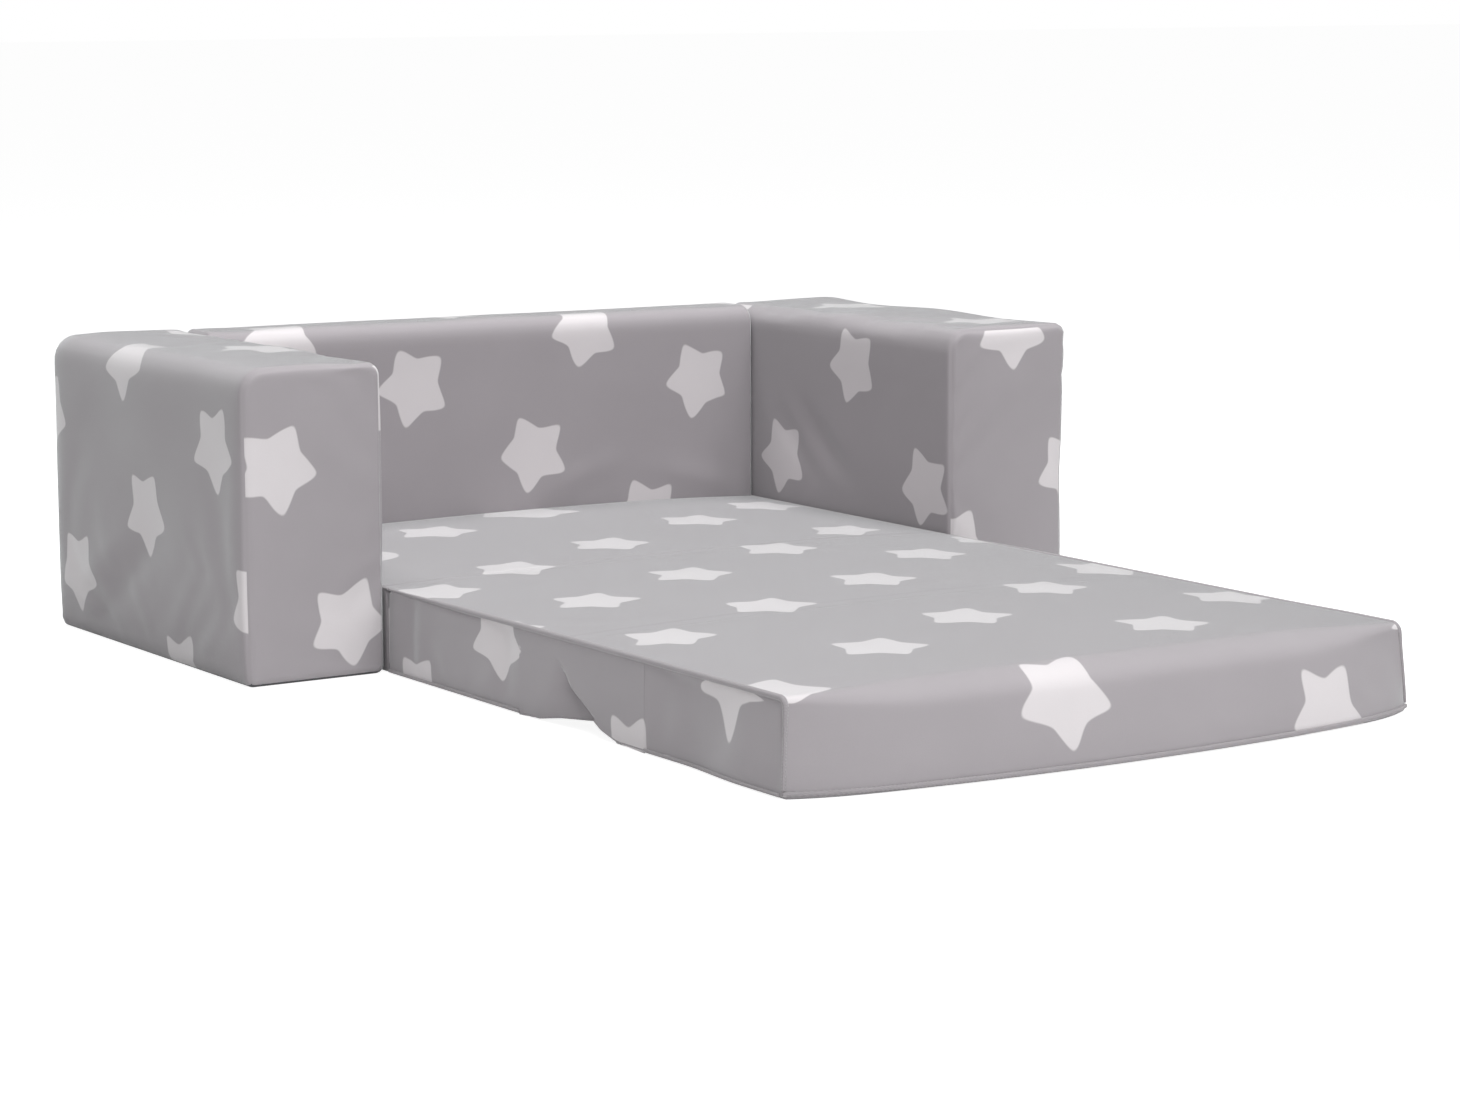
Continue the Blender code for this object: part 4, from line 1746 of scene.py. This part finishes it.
@dataclass(frozen=True)
class PadRow:
    """The three pads in a row, with what joins them across the folds."""

    wardrobe: Wardrobe
    shape: PadShape
    backrest_front: float
    joint_gap: float = 0.0004
    foot_radius: float = 0.004
    acute: float = 0.47
    ridge_radius: float = 0.0023
    overlap: float = 0.012

    def build(self) -> None:
        """Makes the pads, the fabric over their folds and their seams."""
        shape = self.shape
        foot, fold, acute = self.foot_radius, shape.fold_radius, self.acute
        rear, middle, front = shape.rear_fold, shape.front_fold, shape.front_edge
        rows = (
            ("base_pad", "sofa_body", (self.backrest_front, rear), (0, 0), (foot, foot, fold, foot)),
            ("middle_pad", "middle_pad", (rear, middle), (0, shape.bevel),
             (foot, fold, fold * acute, foot * acute)),
            ("front_pad", "front_pad", (middle, front), (shape.bevel, 0),
             (foot * acute, fold * acute, shape.edge_radius, foot)),
        )
        for name, body, ends, bevels, radii in rows:
            corners = self._corners(ends, bevels)
            pad = Pad(name, self.wardrobe, body, corners, radii, shape, name == "front_pad")
            LOG.info("built %s", pad.build().name)
        self._fold_strip("rear_fold_strip", rear)
        self._fold_strip("front_fold_strip", middle)
        for side in Side:
            self._edge_ridges(side)
            FoldWeb(side, self.wardrobe, shape).build()
        self._front_piping()

    def _corners(self, ends: Point2, bevels: Point2) -> list[Point2]:
        """Walks up a pad's rear end and forwards.

        Args:
            ends: Places of its rear and front.
            bevels: How far each end is cut back at the foot.

        Returns:
            The four corners of its outline.
        """
        top, (rear, front) = self.shape.full_height, (ends[0] - self.joint_gap, ends[1] + self.joint_gap)
        return [(rear - bevels[0], 0.0), (rear, top), (front, top), (front + bevels[1], 0.0)]

    def _edge_ridges(self, side: Side) -> None:
        """Lays the seam ridge along the top side edge of every pad and over the front fold.

        Args:
            side: Side of the sofa.
        """
        shape, sign = self.shape, side.value
        x = sign * (shape.half_width - 0.0011)
        z = shape.top(x) - 0.0013
        fold, overlap, front = shape.front_fold, self.overlap, shape.front_edge
        runs = [
            ("base_pad", "sofa_body", 0.4055, shape.rear_fold + 0.001),
            ("middle_pad", "middle_pad", shape.rear_fold - 0.001, fold + overlap),
            ("front_pad", "front_pad", fold - overlap, front + shape.corner_radius),
        ]
        for name, body, start, end in runs:
            places = np.linspace(start, end, max(8, round(abs(end - start) / 0.006)))
            path = [(x, y, z) for y in places]
            if name == "front_pad":
                turned = shape.corner_radius
                path += [
                    (x, front + 0.0006 + turned * (1 - math.sin(a)), z - turned * (1 - math.cos(a)))
                    for a in np.linspace(0.2, math.pi / 2, 8)
                ]
                path += [(x, front + 0.0006, height) for height in np.linspace(z - turned - 0.005, 0.006, 9)]
            widths = [self._ridge(place) for place in path]
            if body != "sofa_body":
                path = shape.spread(np.array(path))
            ridge = bound_seam(
                f"{name}_{side.label}_edge_ridge", path, self.ridge_radius, self.wardrobe, widths
            )
            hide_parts(f"{name}_{side.label}_welt")
            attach(ridge, body)
        feet = [
            ("middle_pad", shape.rear_fold - 0.003, fold - shape.web_rear * MM),
            ("front_pad", fold - shape.web_front * MM, front + 0.003),
        ]
        for body, start, end in feet:
            foot = sign * (shape.half_width + 0.0002)
            path = shape.spread(np.array([(foot, y, 0.0026) for y in np.linspace(start, end, 30)]))
            piping = bound_seam(f"{body}_{side.label}_foot_piping", path, 0.0013, self.wardrobe)
            shape.pinch(piping)
            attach(piping, body)
        across = [(x, y, z) for y in np.linspace(fold + overlap, fold - overlap, 13)]
        name = f"front_fold_{side.label}_edge_ridge"
        bridge = bound_seam(name, across, self.ridge_radius, self.wardrobe)
        fold + overlap
        fold - overlap
        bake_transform(bridge)

    def _ridge(self, place: Point3) -> float:
        """Softens the ridge beside the arms and thins it down the front corner.

        Args:
            place: Place in metres.

        Returns:
            Share of the full ridge.
        """
        grown = bounded((self.shape.rear_fold - 0.03 - place[1]) / 0.08)
        thinned = bounded((place[2] - 0.045) / 0.02)
        return (0.45 + 0.55 * grown) * (0.6 + 0.4 * thinned)

    def _front_piping(self) -> None:
        """Lays the thin piping along the bottom of the front pad's front edge."""
        shape = self.shape
        wide = shape.half_width - 0.0008
        across = wide * np.sin(np.linspace(-1, 1, 90) * math.pi / 2)
        path = np.array([(x, shape.front_edge + 0.0006, 0.0036) for x in across])
        path = shape.spread(shape.bowed(path))
        piping = bound_seam("front_pad_front_piping", path, 0.0018, self.wardrobe)
        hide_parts("front_pad_front_welt")
        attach(piping, "front_pad")

    def _fold_strip(self, name: str, fold: float) -> None:
        """Carries the top fabric over a fold, flush with the pads on both sides.

        Args:
            name: Name of the piece.
            fold: Where the fold is.
        """
        shape = self.shape
        reach = shape.fold_radius + 0.0012
        flat_half, edge = shape.half_width - shape.roll, shape.half_width - shape.roll * 0.3
        rolled = np.linspace(flat_half, edge, 5)
        flat = np.linspace(-flat_half, flat_half, 79)[1:-1]
        across = np.concatenate([-rolled[::-1], flat, rolled])
        along = np.linspace(fold + reach, fold - reach, 13)
        grid_x, grid_y = np.meshgrid(across, along)
        lift, thickness = 0.00005, 0.0008
        top = np.stack([grid_x, grid_y, shape.rolled_top(grid_x) + lift], axis=-1)
        under = top - np.array([0, 0, thickness])
        cloth = np.stack([grid_x, grid_y - shape.rear_fold], axis=-1)
        skin = Skin(name)
        skin.add_sheet(top, under, cloth, self.wardrobe.cover, PAD_TOP)
        strip = skin.sew(gap=1e-6)
        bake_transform(strip)
        LOG.info("built %s", name)


@dataclass
class FoldWeb:
    """Side fabric across the notch under the front fold: a tucked rear part behind a front flap.

    Places along the fold are given forwards from the fold line, in millimetres.
    """

    side: Side
    wardrobe: Wardrobe
    shape: PadShape
    tuck: float = 0.0075
    proud: float = 0.00015
    sweep: Sequence[Point2] = (
        (-32, 64.2), (-24, 53), (-13, 42), (-3, 31), (8, 25.5), (19, 20), (31, 12.5), (40, 8),
        (58, 3.6), (70, 1.6), (96, 0.4),
    )
    parting: int = 6

    def build(self) -> None:
        """Makes both parts of the web and the hem along its free edge."""
        sweep = np.array(self.sweep, float)
        crease, hem = sweep[: self.parting + 1], sweep[self.parting :]
        top = self.sweep[0][1]
        steps, levels = 40, 22
        crease = self._walk(crease[::-1], levels)
        behind = crease + np.array([9.0, 0.0]) * (1 - self._closing(crease[:, 1:]))
        rear_foot, rear_top = [(self.shape.web_rear, height) for height in (0.4, top)]
        front_foot, front_top = [(self.shape.web_front, height) for height in (0.4, top)]
        rear = [
            self._walk([rear_foot, rear_top], levels),
            self._walk([rear_top, tuple(behind[-1])], steps),
            behind[::-1],
            self._walk([tuple(behind[0]), (-20, 7.0), (-48, 2.4), (-68, 0.6), rear_foot], steps),
        ]
        front = [
            crease,
            self._walk([tuple(crease[-1]), front_top], steps),
            self._walk([front_top, front_foot], levels),
            self._walk([front_foot, *[tuple(p) for p in hem[::-1]]], steps),
        ]
        self._part("rear", fill_cap(rear), self._rear_depth)
        self._part("front", fill_cap(front), self._front_depth)
        self._hem("front", hem)
        self._hem("rear", rear[3][::-1])

    @staticmethod
    def _walk(points: Sequence[Point2], count: int) -> np.ndarray:
        """Spaces a number of points evenly along a bent line."""
        return even_ends(np.array(points, float), count)

    @staticmethod
    def _closing(height: np.ndarray) -> np.ndarray:
        """0 where the tuck is open, near the floor, and 1 where it has closed under the top."""
        return smooth(np.clip((height - 26) / 26, 0, 1))

    def _crease_at(self, height: np.ndarray) -> np.ndarray:
        """Where the crease stands at a height."""
        line = np.array(self.sweep[: self.parting + 1], float)[::-1]
        return np.interp(height, line[:, 1], line[:, 0])

    def _rear_depth(self, grid: np.ndarray) -> np.ndarray:
        """Tucks the rear part in at the crease.

        Args:
            grid: Points (along, height) in millimetres.

        Returns:
            How far each stands out from the gusset, in metres.
        """
        along, height = grid[..., 0], grid[..., 1]
        bevel = -self.shape.bevel / MM * (1 - height / 64.6)
        run = smooth(np.clip((along - bevel) / (self._crease_at(height) - bevel + 4), 0, 1))
        return self.proud - self.tuck * run * (1 - self._closing(height))

    def _front_depth(self, grid: np.ndarray) -> np.ndarray:
        """Puffs the front flap out and rolls its free edge in.

        Args:
            grid: Points (along, height) in millimetres.

        Returns:
            How far each stands out from the gusset, in metres.
        """
        along, height = grid[..., 0], grid[..., 1]
        above = height > self.sweep[self.parting][1]
        near = np.clip(1 - (along - self._crease_at(height)) / 4.5, 0, 1) * above
        rolled = 0.0035 * near * near * (1 - self._closing(height))
        puffed = 0.0006 * np.exp(-(((along - 25) / 28) ** 2) - ((height - 28) / 14) ** 2)
        return self.proud + puffed - rolled

    def _part(self, label: str, grid: np.ndarray, depth: Callable[[np.ndarray], np.ndarray]) -> None:
        """Makes one part of the web.

        Args:
            label: rear or front.
            grid: Its points (along, height) in millimetres.
            depth: How far points of the grid stand out, in metres.
        """
        shape, sign = self.shape, self.side.value
        y, z = shape.front_fold - grid[..., 0] * MM, grid[..., 1] * MM
        x = sign * (shape.half_width + depth(grid))
        outer = shape.spread(np.stack([x, y, z], axis=-1))
        inner = outer - np.array([sign * 0.0008, 0, 0])
        skin = Skin(f"front_fold_{self.side.label}_{label}_web")
        cloth = np.stack([shape.rear_fold - y, z], axis=-1)
        skin.add_sheet(outer, inner, cloth, self.wardrobe.cover, PAD_SIDE)
        web = skin.sew(gap=1e-6)
        width, height = (np.ptp(grid[..., 0]) * MM, np.ptp(grid[..., 1]) * MM)
        self._bend(web)
        LOG.info("built %s", web.name)

    def _hem(self, label: str, line: np.ndarray) -> None:
        """Lays the bound edge along the lower edge of one part, on the part's own surface.

        Args:
            label: rear or front.
            line: Points (along, height) of the edge in millimetres.
        """
        walked = self._walk([tuple(p) for p in line], 30)
        proud = self._rear_depth(walked) if label == "rear" else np.full(len(walked), self.proud)
        x = self.side.value * (self.shape.half_width + proud - 0.0010)
        y, z = self.shape.front_fold - walked[:, 0] * MM, np.maximum(walked[:, 1], 2.6) * MM
        path = self.shape.spread(np.stack([x, y, z], axis=-1))
        self._bend(bound_seam(f"front_fold_{self.side.label}_{label}_hem", path, 0.0012, self.wardrobe))

    def _bend(self, piece: bpy.types.Object) -> None:
        """Bakes a piece's placement into its mesh."""
        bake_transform(piece)


@dataclass
class RearPanel:
    """Panel of the cover over the whole rear, with the closed zip near its foot."""

    wardrobe: Wardrobe
    half_width: float = 0.39
    height: float = 0.239
    rear: float = 0.4601
    inset: float = 0.0045
    thickness: float = 0.0011

    def build(self) -> bpy.types.Object:
        """Makes the panel.

        Returns:
            The panel.
        """
        wide, cover = self.half_width, self.wardrobe.cover
        corners = [(-wide, 0.0), (-wide, self.height), (wide, self.height), (wide, 0.0)]
        sides = Outline(corners, (0.007, 0.02, 0.02, 0.007)).sides()
        counts = [max(len(sides[k]), len(sides[k + 2])) for k in (0, 1)] * 2
        sides = [even_ends(side, count) for side, count in zip(sides, counts)]
        skin = Skin("rear_panel_cover")
        rings = ((self.inset, -self.thickness), (self.inset, -0.0003), (self.inset + 0.0004, 0.0))
        for outer, inner in zip(rings, rings[1:]):
            for side in sides:
                rows = np.array([
                    self._laid(side[:, :2] - side[:, 2:] * inset, depth) for inset, depth in (outer, inner)
                ])
                skin.add(rows, rows[..., (0, 2)], cover)
        for depth, inset in ((0.0, rings[-1][0]), (-self.thickness, rings[0][0])):
            flat = fill_cap([side[:, :2] - side[:, 2:] * inset for side in sides])
            skin.add(self._laid(flat, depth), flat, cover)
        panel = skin.sew(gap=1e-6)
        size = (2 * (wide - self.inset), self.height - 2 * self.inset)
        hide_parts("rear_panel")
        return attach(panel, "sofa_body")

    def _laid(self, flat: np.ndarray, depth: float) -> np.ndarray:
        """Stands flat points up behind the sofa.

        Args:
            flat: Points (across, up) in metres.
            depth: How far behind the rear plane they are.

        Returns:
            Points in metres, settled as the arms are.
        """
        y = np.full(flat.shape[:-1], self.rear + depth)
        return Settling().settled(np.stack([flat[..., 0], y, flat[..., 1]], axis=-1))


@dataclass(frozen=True)
class Zip:
    """Closed coil zip near the foot of the rear panel: tape, teeth, stitches, stops and slider.

    The pairs prong, clasp, plate and wall say between which depths each metal part lies.
    """

    wardrobe: Wardrobe
    half_length: float = 0.28
    coil_half: float = 0.2757
    height: float = 0.030
    tape_front: float = 0.4604
    tape_rear: float = 0.4612
    tape_width: float = 0.024
    coil_middle: float = 0.4624
    pitch: float = 0.00125
    zigzag: float = 0.00012
    stitch_step: float = 0.0032
    stop: float = 0.278
    slider: float = 0.2699
    prong: Point2 = (0.4615, 0.4637)
    clasp: Point2 = (0.4617, 0.4639)
    plate: Point2 = (0.4637, 0.4648)
    wall: Point2 = (0.4615, 0.4641)
    bridge: Point2 = (0.0031, 0.0016)

    def build(self) -> None:
        """Makes every part of the zip and places it on its body."""
        self._tape()
        teeth = np.arange(-self.coil_half + 0.001, self.coil_half - 0.0005, self.pitch)
        depth = np.full(len(teeth), self.coil_middle)
        middle = np.stack([teeth, depth, np.full(len(teeth), self.height)], axis=-1)
        middle[1::2, 2] += self.zigzag
        middle[::2, 2] -= self.zigzag
        coil = Bead((0.00118, 0.0017, 0.0042), 2).scatter("zip_teeth", middle, self.wardrobe.nylon)
        self._place(coil, "zip_nylon", "sofa_body", "zip_coil")
        self._stitches()
        for side in Side:
            self._stop(side)
        self._slider()

    def _place(self, piece: bpy.types.Object, slot: str, body: str, *nodes: str) -> None:
        """Places one piece.

        Args:
            piece: The piece.
            slot: Not used.
            body: Body that it rides on.
            nodes: Solids that it stands for.
        """
        if nodes:
            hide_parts(*nodes)
        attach(piece, body)
        LOG.info("built %s", piece.name)

    def _tape(self) -> None:
        """Makes the woven tape, with raised selvedges and a dip on each side of the teeth."""
        profile = np.array([
            (-0.5, -0.2), (-0.49, 0), (-0.46, 0), (-0.43, -0.15), (-0.25, -0.15), (-0.14, -0.25),
            (-0.08, -0.1), (0, -0.1), (0.08, -0.1), (0.14, -0.25), (0.25, -0.15), (0.43, -0.15),
            (0.46, 0), (0.49, 0), (0.5, -0.2),
        ])
        along = np.linspace(-self.half_length, self.half_length, 113)
        z = self.height + profile[:, 0] * self.tape_width
        grid_x, grid_z = np.meshgrid(along, z)
        relief = np.repeat(profile[:, 1:] * MM, len(along), axis=1)
        outer = np.stack([grid_x, self.tape_rear + relief, grid_z], axis=-1)
        inner = np.stack([grid_x, np.full(grid_x.shape, self.tape_front), grid_z], axis=-1)
        skin = Skin("zip_tape_woven")
        skin.add_sheet(outer, inner, np.stack([grid_x, grid_z], axis=-1), self.wardrobe.nylon)
        tape, size = skin.sew(gap=1e-6), (2 * self.half_length, self.tape_width)
        self._place(tape, "zip_nylon", "sofa_body", "zip_tape")

    def _stitches(self) -> None:
        """Sews the tape down with two rows of stitches."""
        steps = np.arange(-self.half_length + 0.003, self.half_length - 0.002, self.stitch_step)
        depth = self.tape_rear - 0.0001
        rows = [(x, depth, self.height + row * self.tape_width) for row in (-0.36, 0.36) for x in steps]
        thread = Bead((0.0025, 0.0005, 0.0005), 0, segments=6)
        stitches = thread.scatter("zip_stitches", np.array(rows), self.wardrobe.welt)
        self._place(stitches, "seam_welt", "sofa_body")

    def _stop(self, side: Side) -> None:
        """Makes the clamp that ends the row of teeth: two prongs on a bar.

        Args:
            side: End of the zip.
        """
        centre, z, half = side.value * self.stop, self.height, 0.00285

        def bar(low_x: float, high_x: float, reach: float) -> Sequence[Point2]:
            """Outline of an upright bar across the teeth."""
            return [(low_x, z - reach), (high_x, z - reach), (high_x, z + reach), (low_x, z + reach)]

        prisms = [
            (bar(centre - 0.002, centre - 0.0005, half), *self.prong),
            (bar(centre + 0.0005, centre + 0.002, half), *self.prong),
            (bar(centre - 0.0015, centre + 0.0015, half * 0.6), *self.clasp),
        ]
        clamp = castings(f"zip_{side.label}_clamp", prisms, 0.00035, self.wardrobe.metal)
        self._place(clamp, "zip_metal", "sofa_body", f"zip_{side.label}_stop")

    def _slider(self) -> None:
        """Makes the slider: a shouldered plate, its two side walls and the bridge over them."""
        middle, z, metal = self.slider, self.height, self.wardrobe.metal
        half = [(-5.4, 3.0), (-4.6, 3.3), (0.4, 3.3), (2.6, 3.8), (4.6, 3.8), (5.4, 3.0)]
        plate = [(middle + x * MM, z + w * MM) for x, w in half]
        plate += [(middle + x * MM, z - w * MM) for x, w in half[::-1]]
        prisms = [(plate, *self.plate)]
        for sign in (-1, 1):
            outer = [(middle + x * MM, z + sign * (w - 0.15) * MM) for x, w in half]
            inner = [(middle + x * MM, z + sign * (2.45 + max(x, 0) * 0.05) * MM) for x, w in half[::-1]]
            prisms.append((outer + inner, *self.wall))
        slider = castings("zip_slider_body", prisms, 0.0002, metal)
        self._place(slider, "zip_metal", "zip_slider", "zip_slider")
        wide, high = self.bridge
        arch = [
            (middle - math.cos(turn) * wide, 0.4643 + math.sin(turn) * high, z)
            for turn in np.linspace(0, math.pi, 15)
        ]
        self._place(tube("zip_slider_bridge", arch, 0.0006, metal), "zip_metal", "zip_slider")


@dataclass(frozen=True)
class Lamp:
    """Soft square lamp, with its side in metres and its power in watts."""

    name: str
    place: Point3
    target: Point3
    side: float
    power: float

    def hang(self) -> None:
        """Adds the lamp to the scene, facing its target."""
        lamp = bpy.data.lights.new(self.name, "AREA")
        lamp.energy = self.power
        lamp.size = self.side
        holder = show(self.name, lamp)
        holder.location = self.place
        aim = Vector(self.target) - Vector(self.place)
        holder.rotation_euler = aim.to_track_quat("-Z", "Y").to_euler()


@dataclass(frozen=True)
class Studio:
    """Camera, lamps, world and floor of the picture."""

    place: Point3 = (-1.6374, -2.4613, 0.5309)
    yaw: float = 33.2865
    pitch: float = 8.507
    roll: float = 0.00351
    lens: float = 93.489
    room_light: float = 0.20
    floor_reach: float = 30.0
    floor_glow: float = 0.91
    lamps: Sequence[Lamp] = (
        Lamp("key_lamp", (0.3, -3.9, 2.1), (0.0, -0.1, 0.1), 2.3, 65.0),
        Lamp("fill_lamp", (-1.2, -3.0, 2.6), (0.0, 0.1, 0.1), 2.2, 35.0),
        Lamp("top_lamp", (0.0, 0.1, 2.6), (0.0, 0.0, 0.0), 2.2, 86.0),
    )

    def build(self) -> None:
        """Sets up the whole studio."""
        self._camera()
        self._floor()
        self._world()
        for lamp in self.lamps:
            lamp.hang()
        bpy.context.scene.view_settings.view_transform = "Standard"

    def _camera(self) -> None:
        """Adds the camera at the viewing angle of the photograph."""
        camera = bpy.data.cameras.new("camera")
        camera.lens = self.lens
        camera.sensor_width = 36.0
        camera.clip_end = 60.0
        holder = show("camera", camera)
        turn = Euler((math.radians(90 - self.pitch), 0.0, -math.radians(self.yaw)), "XYZ").to_matrix()
        spin = Euler((0.0, 0.0, -self.roll), "XYZ").to_matrix()
        holder.matrix_world = (turn @ spin).to_4x4()
        holder.location = self.place
        bpy.context.scene.camera = holder

    def _floor(self) -> None:
        """Adds the plain white floor, which keeps a soft shadow."""
        mesh, reach = bpy.data.meshes.new("floor"), self.floor_reach
        corners = [(-reach, -reach, 0), (reach, -reach, 0), (reach, reach, 0), (-reach, reach, 0)]
        mesh.from_pydata(corners, [], [(0, 1, 2, 3)])
        paint = Paint.of("floor")
        grain = paint.speckle(paint.node("ShaderNodeTexCoord", output="Object"), 3.0)
        matt = paint.node("ShaderNodeBsdfDiffuse", {}, {"Color": (0.86, 0.86, 0.86, 1.0)})
        pale = paint.node("ShaderNodeBsdfDiffuse", {}, {
            "Color": paint.blend(grain, (0.35, 0.35, 0.35, 1.0), (0.36, 0.36, 0.36, 1.0)),
        })
        glow = paint.node("ShaderNodeEmission", {}, {"Color": WHITE, "Strength": self.floor_glow})
        lit = paint.node("ShaderNodeAddShader", {}, {0: pale, 1: glow})
        mixed = paint.node("ShaderNodeMixShader", {}, {0: paint.seen(), 1: matt, 2: lit})
        mesh.materials.append(paint.finish(mixed))
        show("floor", mesh)

    def _world(self) -> None:
        """Adds an even white surround, at full white only for the camera."""
        paint = Paint(bpy.data.worlds.new("surround"))
        room = paint.node("ShaderNodeBackground", {}, {"Color": WHITE, "Strength": self.room_light})
        wall = paint.node("ShaderNodeBackground", {}, {"Color": WHITE, "Strength": 1.0})
        mixed = paint.node("ShaderNodeMixShader", {}, {0: paint.seen(), 1: room, 2: wall})
        bpy.context.scene.world = paint.finish(mixed, "ShaderNodeOutputWorld")


def main() -> None:
    """Builds the studio and every sub-assembly in order."""
    logging.basicConfig(level=logging.INFO, format="%(name)s: %(message)s")
    Studio().build()
    wardrobe = Wardrobe()
    back = Backrest(wardrobe)
    for piece in (*(Arm(side, wardrobe) for side in Side), back, RearPanel(wardrobe)):
        LOG.info("built %s", piece.build().name)
    Zip(wardrobe).build()
    PadRow(wardrobe, PadShape(), back.front).build()


if __name__ == "__main__":
    main()
